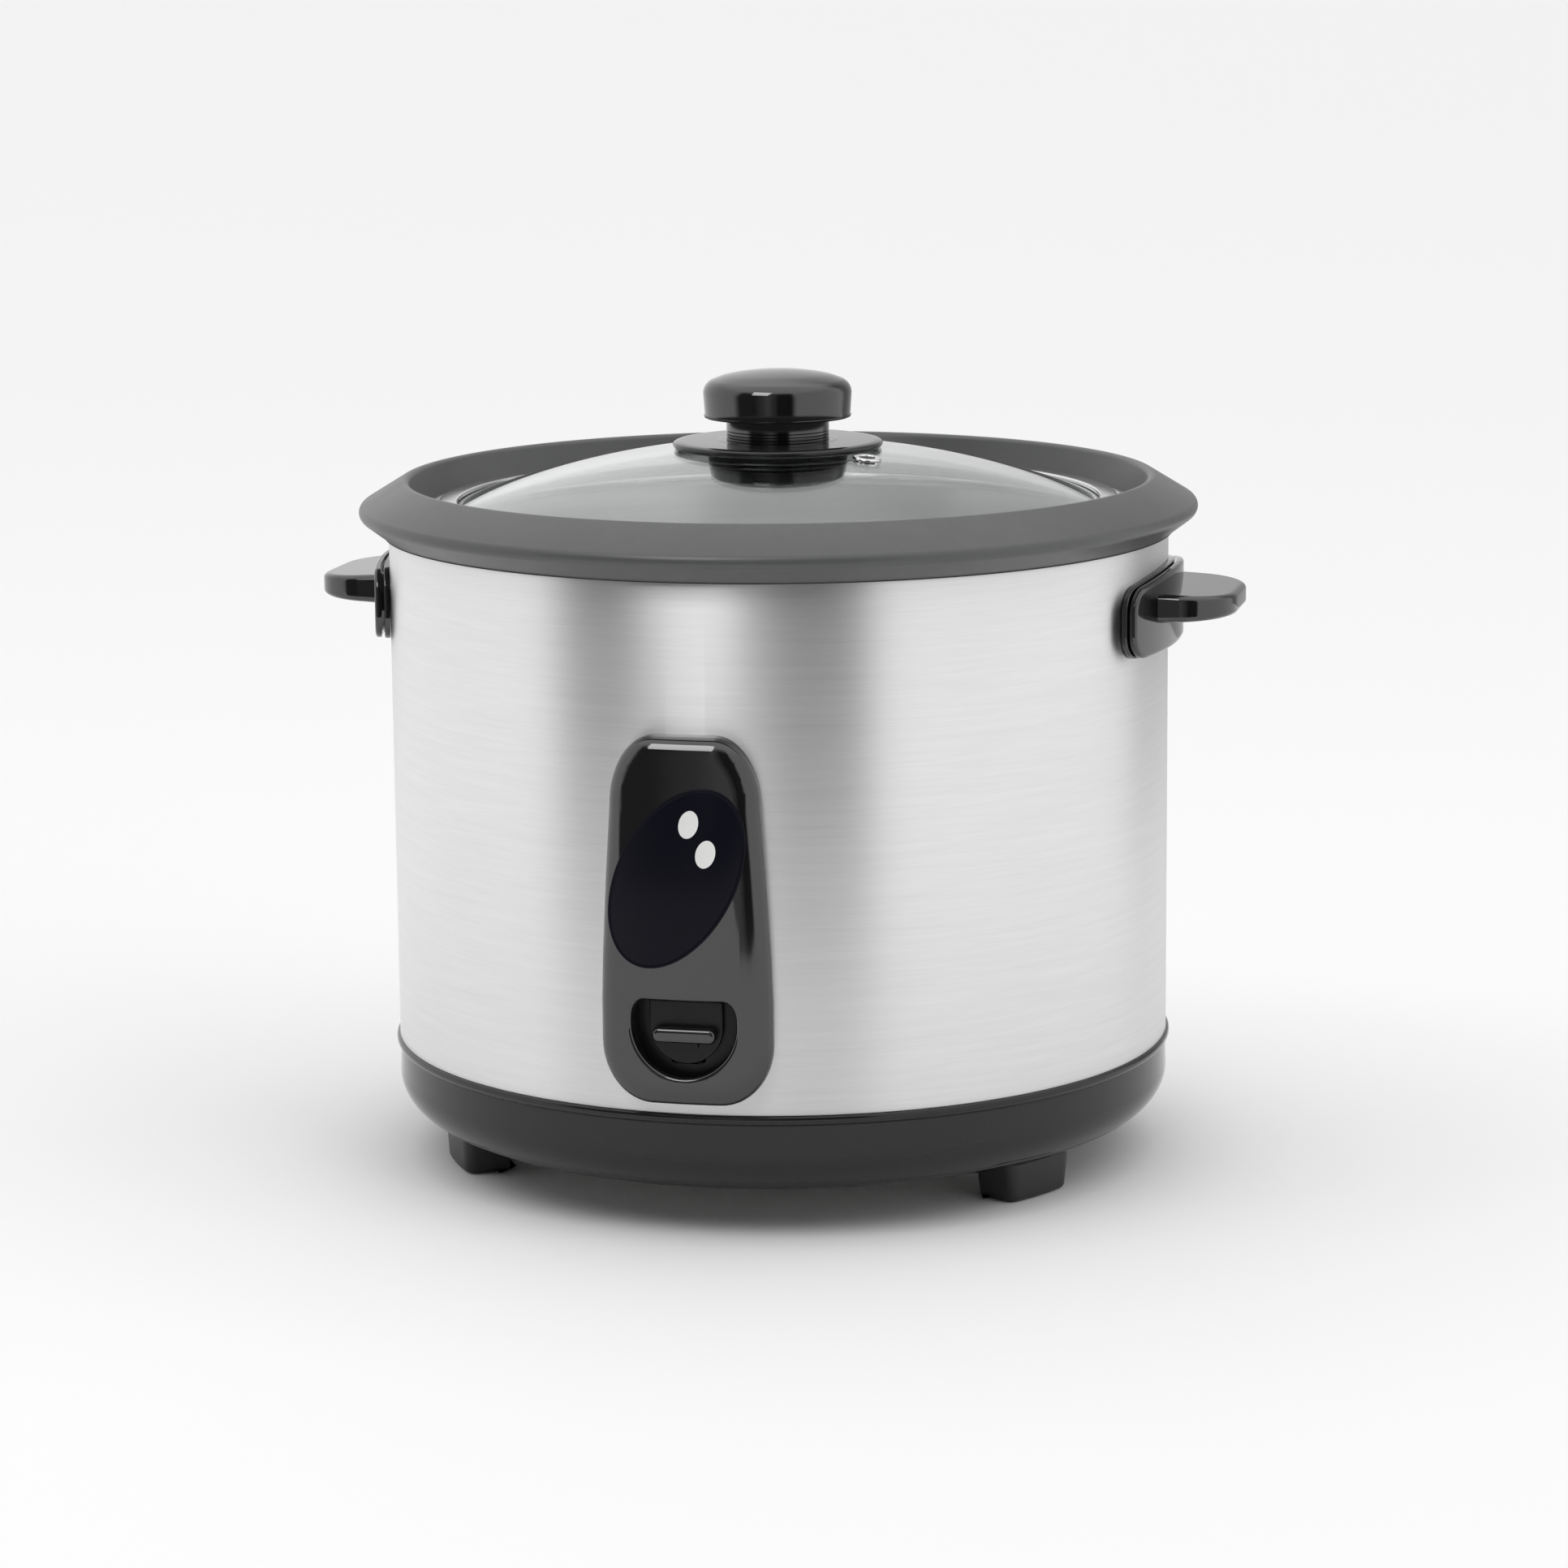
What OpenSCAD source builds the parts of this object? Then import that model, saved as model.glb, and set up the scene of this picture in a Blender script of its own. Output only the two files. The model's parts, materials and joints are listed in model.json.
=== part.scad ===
// Rice cooker with a drum-shaped body, a lift-out pot, a glass lid and a cook lever.
// Z is up, the front faces -Y and the handles are at -X and +X. Z = 0 is the floor.

/* [Body] */
// Outer radius of the steel shell
shell_r = 126; // [105:1:155]
// Height of the steel shell between the base and the top ring
shell_h = 164; // [136:1:200]
// Thickness of the shell's sheet steel
shell_wall = 0.8; // [0.6:0.1:1.2]
// Clearance between pieces that slip into each other
slip = 0.2; // [0.1:0.05:0.3]

/* [Base] */
// Height of the feet
foot_h = 12; // [8:1:16]
// Width of a foot along the edge of the base
foot_w = 29; // [20:1:36]
// Depth of a foot
foot_depth = 15; // [12:1:18]
// Height of the base moulding above the feet
base_h = 27.5; // [24:0.5:34]
// Wall of the base moulding
base_wall = 2.5; // [2:0.1:3]
// How far the base curves in from the shell to its flat underside
base_tuck = 19.7; // [16:0.1:22]
// Height of the curved part of the base
base_curve_h = 15; // [12:0.5:18]

/* [Top ring] */
// How far the ring's nose stands out from the shell
ring_out = 9.4; // [6:0.2:12]
// Height of the ring above its lower edge
ring_h = 17.5; // [15:0.5:20]
// Wall of the ring moulding
ring_wall = 2.4; // [2:0.1:3]

/* [Pot] */
// Gap between the shell and the outside of the pot
pot_gap = 17.3; // [16.5:0.1:22]
// Thickness of the pot
pot_wall = 1.2; // [1:0.1:2]
// Height of the liner's floor above the base, which is the room for the lever and the thermostat
liner_up = 58; // [58:1:76]
// Width of the pot's flange
pot_flange_w = 5.3; // [4:0.1:5.5]
// Radius of the pot's bottom corner
pot_corner_r = 14; // [10:1:20]
// Gap between pieces that come apart or move
lift_gap = 0.3; // [0.3:0.05:0.4]

/* [Lid] */
// Radius of the glass dome's curve
dome_r = 292; // [260:1:340]
// Thickness of the glass
glass_t = 3.5; // [3:0.1:4]
// Radius of the steam vent's hole
vent_hole_r = 2.5; // [2:0.1:3]
// Distance of the steam vent from the middle of the lid
vent_at_r = 40; // [39:1:60]

/* [Knob] */
// Radius of the knob's cap
knob_r = 24; // [20:0.5:27]
// Height of the knob from its collar to its crown
knob_h = 22.5; // [20:0.5:30]
// Radius of the knob's neck
neck_r = 16.6; // [13:0.2:17]
// Radius of the collar under the knob
collar_r = 34; // [30:0.5:34.5]

/* [Control panel] */
// Height of the panel
panel_h = 114; // [104:1:120]
// Half of the panel's width near its lower end
panel_half_w = 28; // [26:0.5:32]
// How far the panel stands out from the shell
panel_out = 8.4; // [7.6:0.2:9]
// Height of the panel's lower edge above the base
panel_up = 4; // [3:0.5:8]

/* [Lever] */
// Width of the lever's finger tab
tab_w = 20; // [16:0.5:22]
// Height of the finger tab
tab_h = 4.8; // [4:0.2:5.4]
// Width of the lever's arm
arm_w = 10; // [8:0.5:11]
// Radius of the hinge pin
pin_r = 2; // [1.5:0.1:2.5]
// Running clearance of the pin, the magnet rod and the plunger
run = 0.05; // [0.03:0.01:0.1]

/* [Handles] */
// How far the grips reach out from the shell
grip_out = 25; // [20:0.5:34]
// Half of the grip's width at its root
grip_half_w = 27; // [22:0.5:30]
// Half of the back plate's width
plate_half_w = 42; // [38:0.5:46]
// Height of the back plate
plate_h = 25; // [22:0.5:28]
// Height of the grip's middle below the top of the shell
grip_down = 19.5; // [18:0.5:40]

/* [Heater] */
// Radius of the cast heating plate
heater_r = 88; // [84:1:96]
// Thickness of the heating plate
heater_t = 8; // [7:0.5:10]
// Radius of the temperature sensor's cap
sensor_r = 17.5; // [16.5:0.1:18]

/* [Power inlet] */
// Width of the inlet's socket
socket_w = 24.4; // [24:0.1:25]
// Height of the inlet's socket
socket_h = 16.4; // [16:0.1:17]
// Height of the socket's middle above the base
inlet_up = 18.5; // [18:0.5:20]

/* [Hidden] */
$fn = 96;

// Heights
base_z = foot_h;                         // underside of the base
seam_z = base_z + base_h;                // seam between the base and the shell
ring_z = seam_z + shell_h;               // lower edge of the ring's skirt
ring_top_z = ring_z + ring_h;
ledge_z = ring_top_z - 12;               // ledge that the pot's flange hangs over
shell_top_z = ring_z + 3.5;
shell_in = shell_r - shell_wall;

// Pot, liner and heater
pot_r = shell_r - pot_gap;
pot_in = pot_r - pot_wall;
flange_r = pot_r + pot_flange_w;
flange_z = ledge_z + lift_gap;
post_h = 5.2;
liner_t = 0.8;
liner_z = base_z + liner_up;             // underside of the liner's floor
liner_top_z = liner_z + liner_t;         // upper face of the liner's floor
heater_z = liner_top_z + post_h;
heater_top_z = heater_z + heater_t;
pot_bottom_z = heater_top_z + lift_gap;
liner_r = pot_r + 3.3;
liner_hole_r = 24;
heater_hole_r = sensor_r + 1.5;
post_at_r = heater_r - 8;
post_angles = [30, 150, 270];
element_r = heater_r - 26;
element_tube_r = 3.3;
element_z = heater_z + 1.5;
lead_angles = [70, 110];

// Lid
rim_z = flange_z + pot_wall + lift_gap;
rim_r = pot_r + 1.3;
glass_r = pot_in - 1.5;
dome_z = rim_z + 20.7;                   // crown of the dome
dome_c = dome_z - dome_r;                // height of the dome's centre
function dome(r) = dome_c + sqrt(dome_r * dome_r - r * r);
function under_dome(r) = dome_c + sqrt(pow(dome_r - glass_t, 2) - r * r);
collar_top_z = dome_z + 0.9;
screw_hole_r = 2.4;
vent_angle = -32;

// Base
flat_r = shell_r - base_tuck;            // edge of the flat underside
plate_r = flat_r - 8.3;                  // opening for the bottom plate
ledge_r = plate_r - 6;
bottom_t = 1.2;
bottom_top_z = base_z + 1.8;
boss_at_r = plate_r - 3.2;
boss_h = 8;
boss_angles = [30, 150, 270];
foot_angles = [60, -60, 180];

// Control panel and lamps
panel_z = seam_z + panel_up;
panel_back = shell_r + slip;
panel_r = shell_r + panel_out;
panel_wall = 2.8;
badge_t = 0.5;
badge_at = [-1.7, 71];                   // sideways and up from the panel's lower edge
badge_size = [18.3, 30.3];
badge_tilt = 29;
lens_size = [3.4, 4.8];
lens_tilt = 16;
warm_at = [2.7, 88];
cook_at = [7.8, 79];
panel_screw_up = [101, 43];
pocket_up = 9;                           // pocket's lower edge above the panel's
pocket_half_w = 16.5;
pocket_h = 24.2;
pocket_wall = 1.4;
pocket_drop = 4;                         // how far the tray reaches down behind the panel
pocket_back = shell_r + 0.8;
pocket_front = panel_r - panel_wall;

// Lever. It turns on a pin across the cooker, and its inner end lifts the magnet.
tab_z = panel_z + 19.8;
tab_y = -(panel_r - 0.6);
arm_front_y = -shell_r + 12;             // where the steel arm meets the moulded tab
pivot_y = -50;
pivot_z = liner_z - 18;
hub_r = 5;
lever_end_z = pivot_z - 14;
switch_y = pivot_y - 25;
switch_top_z = pivot_z - 2;
switch_size = [10.3, 28, 16];
plunger_r = 1.6;
plunger_up = 3.4;
shield_half_w = 11.5;
plunger_x = 2.8;
cheek_x = 8;
sheet_t = 1.5;

// Thermostat stack in the middle of the heater
bracket_z = liner_z - 15.5;              // underside of the bracket's bridge
bracket_half = 33;
sleeve_r = 13;
sleeve_z = bracket_z - 2.5;
flange_t = 1.5;
magnet_r = 10.5;
magnet_h = 10;
magnet_z = sleeve_z + 9.5;
rod_r = 2.5;
rod_z = lever_end_z + lift_gap;
seat_z = rod_z + 2.7;                    // lower seat of the magnet's spring
wire_r = 0.6;
cap_skirt = 22;

// Power inlet
inlet_z = seam_z + inlet_up;
inlet_face_y = shell_r + 4.5;
inlet_back_y = shell_r - 17;
pin_tip_y = shell_r - 1.5;

// Points on an arc about c, from angle a to angle b, in n steps
function arc(c, rx, ry, a, b, n) =
    [for (i = [0:n]) let (t = a + (b - a) * i / n) c + [rx * cos(t), ry * sin(t)]];

module spin_round(points) rotate_extrude() polygon(points);
// A tube, a disc with a hole when it is short
module tube(r_out, r_in, z0, z1) translate([0, 0, z0]) difference() {
    cylinder(r = r_out, h = z1 - z0);
    translate([0, 0, -1]) cylinder(r = r_in, h = z1 - z0 + 2);
}
module rod_z(r, z0, z1) translate([0, 0, z0]) cylinder(r = r, h = z1 - z0);
// A cylinder along Y, from y0 to y1
module rod_y(r, y0, y1) translate([0, y1, 0]) rotate([90, 0, 0]) cylinder(r = r, h = y1 - y0);
module rod_x(r, x0, x1) translate([x0, 0, 0]) rotate([0, 90, 0]) cylinder(r = r, h = x1 - x0);
module block(lo, hi) translate(lo) cube(hi - lo);
// A flat outline in X and Z, carried through Y from y0 to y1
module slab(y0, y1) translate([0, y1, 0]) rotate([90, 0, 0]) linear_extrude(y1 - y0) children();
// What lies between two radii of an outline that is pushed through the front of the shell
module on_shell(r0, r1) intersection() {
    tube(r1, r0, 0, ring_top_z);
    slab(-shell_r - 30, -60) children();
}
module rounded(x0, x1, z0, z1, r) polygon(concat(
    arc([x1 - r, z1 - r], r, r, 0, 90, 8), arc([x0 + r, z1 - r], r, r, 90, 180, 8),
    arc([x0 + r, z0 + r], r, r, 180, 270, 8), arc([x1 - r, z0 + r], r, r, 270, 360, 8)));
module tilted(at, size, tilt, up) translate([at[0], up + at[1]]) rotate(-tilt)
    polygon(arc([0, 0], size[0], size[1], 0, 350, 35));
// A coil spring between two heights, swept as one closed skin
module coil(r, z0, z1, turns, steps = 10, sides = 6) {
    n = turns * steps;
    rise = (z1 - z0 - 2 * wire_r) / n;
    points = [for (i = [0:n]) for (k = [0:sides - 1])
        let (a = 360 * i / steps, b = 360 * k / sides, rr = r + wire_r * cos(b))
        [rr * cos(a), rr * sin(a), z0 + wire_r + i * rise + wire_r * sin(b)]];
    skin(points, n, sides);
}
// A round wire through points, swept as one closed skin
module wire(path, r, sides = 8) {
    n = len(path) - 1;
    function unit(v) = v / norm(v);
    points = [for (i = [0:n]) let (
            t = unit(path[min(i + 1, n)] - path[max(i - 1, 0)]),
            side = unit(cross(t, abs(t[2]) > 0.9 ? [1, 0, 0] : [0, 0, 1])),
            up = cross(side, t))
        for (k = [0:sides - 1]) let (b = 360 * k / sides) path[i] + r * (cos(b) * side + sin(b) * up)];
    skin(points, n, sides);
}
// The faces of a sweep with n stretches
module skin(points, n, sides) polyhedron(points, concat(
    [[for (k = [0:sides - 1]) k], [for (k = [sides - 1:-1:0]) n * sides + k]],
    [for (i = [0:n - 1]) for (k = [0:sides - 1]) let (m = (k + 1) % sides)
        [i * sides + k, (i + 1) * sides + k, (i + 1) * sides + m, i * sides + m]]));

// ---- Body ----
module panel_shape(inset = 0) {
    w = panel_half_w - inset;
    shoulder = w - 5.5;
    polygon(concat(
        arc([shoulder - 13, panel_z + panel_h - inset - 18], 13, 18, 0, 90, 8),
        arc([13 - shoulder, panel_z + panel_h - inset - 18], 13, 18, 90, 180, 8),
        [[-w, panel_z + 46]],
        arc([17 - w, panel_z + inset + 19], 17, 19, 180, 270, 8),
        arc([w - 17, panel_z + inset + 19], 17, 19, 270, 360, 8),
        [[w, panel_z + 46]]));
}
module pocket_shape(grow = 0, drop = 0) {
    z = panel_z + pocket_up;
    w = pocket_half_w + grow;
    top = z + pocket_h + grow;
    polygon(concat(
        arc([w - 4, top - 6], 4, 6, 0, 90, 6), arc([4 - w, top - 6], 4, 6, 90, 180, 6),
        arc([0, z + pocket_half_w], w, w + drop, 180, 360, 18)));
}
// The slot that the lever's arm swings in
module arm_slot() rounded(-arm_w / 2 - 1, arm_w / 2 + 1, tab_z - 7.5, tab_z + tab_h + 0.6, 2);
module outer_shell() color("silver") difference() {
    tube(shell_r, shell_in, seam_z, shell_top_z);
    slab(-shell_r - 9, -60) arm_slot();
    for (up = panel_screw_up) translate([0, 0, panel_z + up]) rod_y(1.9, -shell_r - 9, -60);
    for (side = [90, -90]) rotate(side) handle_holes(2.3, -shell_r - 9, -60);
    slab(60, shell_r + 9) square_hole(socket_w + 5.6, socket_h + 5.6);
    inlet_screw_places() rod_y(1.9, 60, shell_r + 9);
}
module square_hole(w, h) translate([-w / 2, inlet_z - h / 2]) square([w, h]);

module top_ring() color("dimgray") {
    nose_r = shell_r + ring_out;
    nose_z = ring_z + 7.6;
    crest_r = shell_r - 5;
    spin_round(concat(
        [[pot_r + 1.7, ledge_z - ring_wall], [pot_r + 1.7, ledge_z],
            [flange_r + 1.2, ledge_z], [flange_r + 2, ledge_z + 3.5]],
        arc([crest_r, ring_top_z - 1.6], 2, 1.6, 170, 70, 6),
        arc([nose_r - 2.6, nose_z], 2.6, 2.6, 60, -50, 10),
        [[shell_r + 1.2, ring_z + 0.4], [shell_r + slip, ring_z],
            [shell_r + slip, shell_top_z], [shell_in - slip, shell_top_z],
            [shell_in - slip, ring_z + 1], [shell_in - slip - 1.6, ring_z + 1],
            [shell_in - slip - 1.6, shell_top_z + 2], [shell_r + ring_out - 6, nose_z + 0.6],
            [crest_r + 0.6, ring_top_z - 2.8], [flange_r + 3.8, ledge_z + 3],
            [flange_r + 3.4, ledge_z - ring_wall]]));
}
module base_ring() color("dimgray") {
    inner_curve_h = base_curve_h - base_wall - 0.3;
    lip_top = base_z + base_curve_h - inner_curve_h * sin(61);
    difference() {
        union() {
            spin_round(concat(
                [[plate_r, bottom_top_z], [plate_r, base_z]],
                arc([flat_r, base_z + base_curve_h], base_tuck, base_curve_h, -90, 0, 14),
                [[shell_r, seam_z - 3], [shell_r + 0.9, seam_z - 2.2],
                    [shell_r + 1.2, seam_z - 1], [shell_r + 0.8, seam_z],
                    [shell_in - slip, seam_z], [shell_in - slip, seam_z + 5.5],
                    [shell_r - base_wall, seam_z + 5.5]],
                arc([flat_r, base_z + base_curve_h], base_tuck - base_wall, inner_curve_h, 0, -61, 10),
                [[ledge_r, lip_top], [ledge_r, bottom_top_z]]));
            for (a = boss_angles) rotate(a) translate([boss_at_r, 0, 0])
                rod_z(4, (bottom_top_z + lip_top) / 2, bottom_top_z + boss_h);
        }
        for (a = boss_angles) rotate(a) translate([boss_at_r, 0, 0])
            rod_z(1.6, bottom_top_z - 1, bottom_top_z + boss_h - 1);
    }
}
module bottom_plate() color("gainsboro") difference() {
    rod_z(plate_r - slip, bottom_top_z - bottom_t, bottom_top_z);
    for (a = boss_angles) rotate(a) translate([boss_at_r, 0, 0])
        rod_z(1.9, bottom_top_z - 3, bottom_top_z + 1);
    for (y = [20:8:68]) for (side = [-1, 1])
        block([side * 24 - 17, y, base_z], [side * 24 + 17, y + 3.5, bottom_top_z + 1]);
}
module bottom_screws() color("silver") for (a = boss_angles) rotate(a)
    translate([boss_at_r, 0, 0]) {
        rod_z(1.5, bottom_top_z - bottom_t, bottom_top_z + boss_h - 2);
        rod_z(3, bottom_top_z - bottom_t - 1.4, bottom_top_z - bottom_t);
    }
module rating_label() color("silver")
    block([-28, -46, bottom_top_z - bottom_t - 0.3], [28, -12, bottom_top_z - bottom_t]);
// A foot narrows towards the floor, and its outer side leans in
module foot(angle) color("dimgray") rotate(angle) intersection() {
    out = flat_r + 6;
    tube(out, out - foot_depth, 0, base_z);
    slab(-out - 9, -40) polygon([[2.5 - foot_w / 2, 0], [foot_w / 2 - 2.5, 0], [foot_w / 2, base_z],
        [-foot_w / 2, base_z]]);
    spin_round([[0, 0], [out - 2, 0], [out - 1, 1.5], [out, base_z], [0, base_z]]);
}
module foot_front_right() foot(foot_angles[0]);
module foot_front_left() foot(foot_angles[1]);
module foot_rear() foot(foot_angles[2]);

// ---- Control panel ----
module control_panel() color("#222226") difference() {
    union() {
        on_shell(panel_back, panel_r - 3.2) panel_shape();
        on_shell(panel_back, panel_r - 1.2) panel_shape(1.2);
        on_shell(panel_back, panel_r) panel_shape(3);
    }
    difference() {
        on_shell(shell_r - 9, panel_r - panel_wall) panel_shape(panel_wall);
        for (up = panel_screw_up) translate([0, 0, panel_z + up]) rod_y(4, -shell_r - 9, -60);
    }
    for (up = panel_screw_up) translate([0, 0, panel_z + up])
        rod_y(1.6, -panel_r + panel_wall - 1, -60);
    on_shell(shell_r - 9, shell_r + 30) pocket_shape();
    on_shell(shell_r - 9, pocket_front) pocket_shape(pocket_wall + slip, pocket_drop);
    on_shell(shell_r, shell_r + 30) lens_shape(warm_at, slip);
    on_shell(shell_r, shell_r + 30) lens_shape(cook_at, slip);
}
module lens_shape(at, grow) tilted(at, lens_size + [grow, grow], lens_tilt, panel_z);
module panel_badge() color("#14142a") difference() {
    on_shell(panel_r, panel_r + badge_t) tilted(badge_at, badge_size, badge_tilt, panel_z);
    on_shell(shell_r, shell_r + 30) lens_shape(warm_at, slip);
    on_shell(shell_r, shell_r + 30) lens_shape(cook_at, slip);
}
module lens(at) color("white") {
    on_shell(panel_r - panel_wall, panel_r + badge_t + 0.4) lens_shape(at, 0);
    on_shell(panel_r - panel_wall - 1, panel_r - panel_wall) lens_shape(at, 1);
}
module warm_lens() lens(warm_at);
module cook_lens() lens(cook_at);
module lamp_holder() color("ivory")
    on_shell(panel_back, panel_r - panel_wall - 1.2) rounded(-2, 13, panel_z + 60, panel_z + 66, 2);
module neon_lamps() color("orange") for (at = [warm_at, cook_at]) translate([at[0], -shell_r - 2.2, 0]) {
    z = panel_z + at[1];
    rod_z(1.9, z - 5, z + 3);
    translate([0, 0, z + 3]) sphere(r = 1.9, $fn = 32);
    for (side = [-1, 1]) translate([side, 0, 0]) rod_z(0.4, panel_z + 66, z - 4);
}
module lever_pocket() color("#222226") difference() {
    on_shell(pocket_back, pocket_front) pocket_shape(pocket_wall, pocket_drop);
    on_shell(pocket_back + pocket_wall, shell_r + 30) pocket_shape(0, pocket_drop);
    slab(-shell_r - 30, -60) arm_slot();
}
module panel_screws() color("silver") for (up = panel_screw_up) translate([0, 0, panel_z + up]) {
    rod_y(1.5, -panel_r + panel_wall + 0.5, -shell_in + 2);
    rod_y(3, -shell_in + 0.5, -shell_in + 2.5);
}

// ---- Handles ----
grip_z = ring_z - grip_down;
module handle_holes(r, y0, y1) for (side = [-1, 1])
    translate([side * 24, 0, grip_z]) rod_y(r, y0, y1);
module plate_shape(inset = 0) rounded(inset - plate_half_w, plate_half_w - inset,
    grip_z - 15 + inset, grip_z + plate_h - 15 - inset, 8);
module handle() color("#2c2c30") difference() {
    union() {
        on_shell(shell_r + slip, shell_r + 2) plate_shape();
        on_shell(shell_r + slip, shell_r + 5) plate_shape(2);
        on_shell(shell_r + 3.2, shell_r + 5) plate_shape();
        intersection() {
            slab(-shell_r - grip_out, -60) rounded(-grip_half_w, grip_half_w, grip_z - 5, grip_z + 5, 4);
            translate([0, 0, grip_z - 9]) linear_extrude(18) polygon(concat(
                [[-grip_half_w, -60], [-grip_half_w, -shell_r - grip_out + 13]],
                arc([15 - grip_half_w, 13 - shell_r - grip_out], 15, 13, 180, 270, 8),
                arc([grip_half_w - 15, 13 - shell_r - grip_out], 15, 13, 270, 360, 8),
                [[grip_half_w, -60]]));
            translate([-40, 0, grip_z]) rotate([90, 0, 90]) linear_extrude(80) polygon(concat(
                [[-60, 5], [-shell_r - grip_out + 4, 4]],
                arc([3.5 - shell_r - grip_out, 0.5], 3.5, 3.5, 90, 270, 8),
                [[-60, -5]]));
            rod_hollow();
        }
    }
    handle_holes(1.6, -shell_r - 11, -60);
}
module rod_hollow() tube(shell_r + 60, shell_r + slip, 0, ring_top_z);
module handle_right() rotate(90) handle();
module handle_left() rotate(-90) handle();
module handle_screws() color("silver") for (turn = [90, -90]) rotate(turn) {
    edge = sqrt(shell_in * shell_in - 28 * 28);
    handle_holes(1.5, -shell_r - 10, -edge);
    handle_holes(3.5, -edge + 1, -edge + 3);
    handle_holes(2, -edge, -edge + 1);
}

// ---- Liner and heater ----
module inner_liner() color("lightgray") difference() {
    spin_round([[liner_hole_r, liner_z], [liner_r, liner_z], [liner_r, ledge_z - ring_wall - liner_t],
        [flange_r + 3, ledge_z - ring_wall - liner_t], [flange_r + 3, ledge_z - ring_wall],
        [liner_r - liner_t, ledge_z - ring_wall], [liner_r - liner_t, liner_top_z],
        [liner_hole_r, liner_top_z]]);
    for (a = post_angles) rotate(a) translate([post_at_r, 0, 0]) rod_z(2.3, liner_z - 1, heater_z);
    for (a = lead_angles) rotate(a) translate([element_r, 0, 0]) rod_z(6, liner_z - 1, heater_z);
    for (x = [-1, 1]) translate([x * (bracket_half + 7), 0, 0]) rod_z(1.9, liner_z - 1, heater_z);
}
module element_path(grow) {
    rotate(lead_angles[1]) rotate_extrude(angle = 360 - lead_angles[1] + lead_angles[0])
        translate([element_r, element_z]) circle(r = element_tube_r + grow, $fn = 32);
    for (a = lead_angles) rotate(a) translate([element_r, 0, 0])
        rod_z(element_tube_r - 0.3 + grow, liner_z - 10, element_z + 1);
}
module heating_plate() color("silver") difference() {
    spin_round([[heater_hole_r, heater_z], [heater_r - 1.5, heater_z], [heater_r, heater_z + 1.5],
        [heater_r, heater_top_z - 2], [heater_r - 2, heater_top_z],
        [heater_hole_r + 1, heater_top_z], [heater_hole_r, heater_top_z - 1]]);
    element_path(0.1);
    for (a = post_angles) rotate(a) translate([post_at_r, 0, 0])
        rod_z(2.1, heater_z - 1, heater_z + heater_t - 3);
}
module heating_element() color("darkgray") element_path(0);
module heater_posts() color("darkgray") for (a = post_angles) rotate(a)
    translate([post_at_r, 0, 0]) tube(5, 2.3, liner_top_z, heater_z);
module heater_screws() color("silver") for (a = post_angles) rotate(a)
    translate([post_at_r, 0, 0]) {
        rod_z(2, liner_z, heater_z + heater_t - 4);
        rod_z(4, liner_z - 2, liner_z);
    }

// ---- Thermostat ----
module thermostat_bracket() color("silver") difference() {
    union() {
        block([-bracket_half - sheet_t, -9, bracket_z], [bracket_half + sheet_t, 9, bracket_z + sheet_t]);
        for (side = [0, 1]) mirror([side, 0, 0]) {
            block([bracket_half, -9, bracket_z], [bracket_half + sheet_t, 9, liner_z]);
            block([bracket_half, -9, liner_z - sheet_t], [bracket_half + 13, 9, liner_z]);
        }
    }
    rod_z(sleeve_r + run, bracket_z - 1, bracket_z + 4);
    for (x = [-1, 1]) translate([x * (bracket_half + 7), 0, 0]) rod_z(1.9, bracket_z, liner_z + 1);
}
module bracket_screws() color("silver") for (x = [-1, 1]) translate([x * (bracket_half + 7), 0, 0]) {
    rod_z(1.6, liner_z - sheet_t, liner_top_z + 2);
    rod_z(3, liner_z - sheet_t - 2, liner_z - sheet_t);
}
module thermostat_sleeve() color("gainsboro") {
    floor_z = sleeve_z + 1.2;
    seat = bracket_z + sheet_t;
    spin_round([[rod_r + 0.5, sleeve_z], [sleeve_r, sleeve_z], [sleeve_r, seat],
        [sensor_r - 1.2, seat], [sensor_r - 1.2, seat + flange_t],
        [sleeve_r, seat + flange_t], [sleeve_r, liner_z + 5],
        [sleeve_r - 1.6, liner_z + 5], [sleeve_r - 1.6, floor_z], [rod_r + 0.5, floor_z]]);
}
module sensor_cap() color("silver")
    spin_round([[0, heater_top_z], [sensor_r - 1, heater_top_z], [sensor_r, heater_top_z - 1],
        [sensor_r, heater_top_z - cap_skirt], [sensor_r - 0.8, heater_top_z - cap_skirt],
        [sensor_r - 0.8, heater_top_z - 1.2], [0, heater_top_z - 1.2]]);
module sensor_ferrite() color("#3a3a3a") rod_z(magnet_r, heater_top_z - 5.2, heater_top_z - 1.2);
module sensor_spring() color("gray")
    coil(14.9, bracket_z + sheet_t + flange_t, heater_top_z - 1.5, 6);
module magnet() color("#3a3a3a") rod_z(magnet_r, magnet_z, magnet_z + magnet_h);
module magnet_rod() color("silver") {
    rod_z(rod_r, rod_z, magnet_z);
    rod_z(7, seat_z, seat_z + 1.5);
}
module magnet_spring() color("gray") coil(5.2, seat_z + 1.5, sleeve_z, 3);

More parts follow.
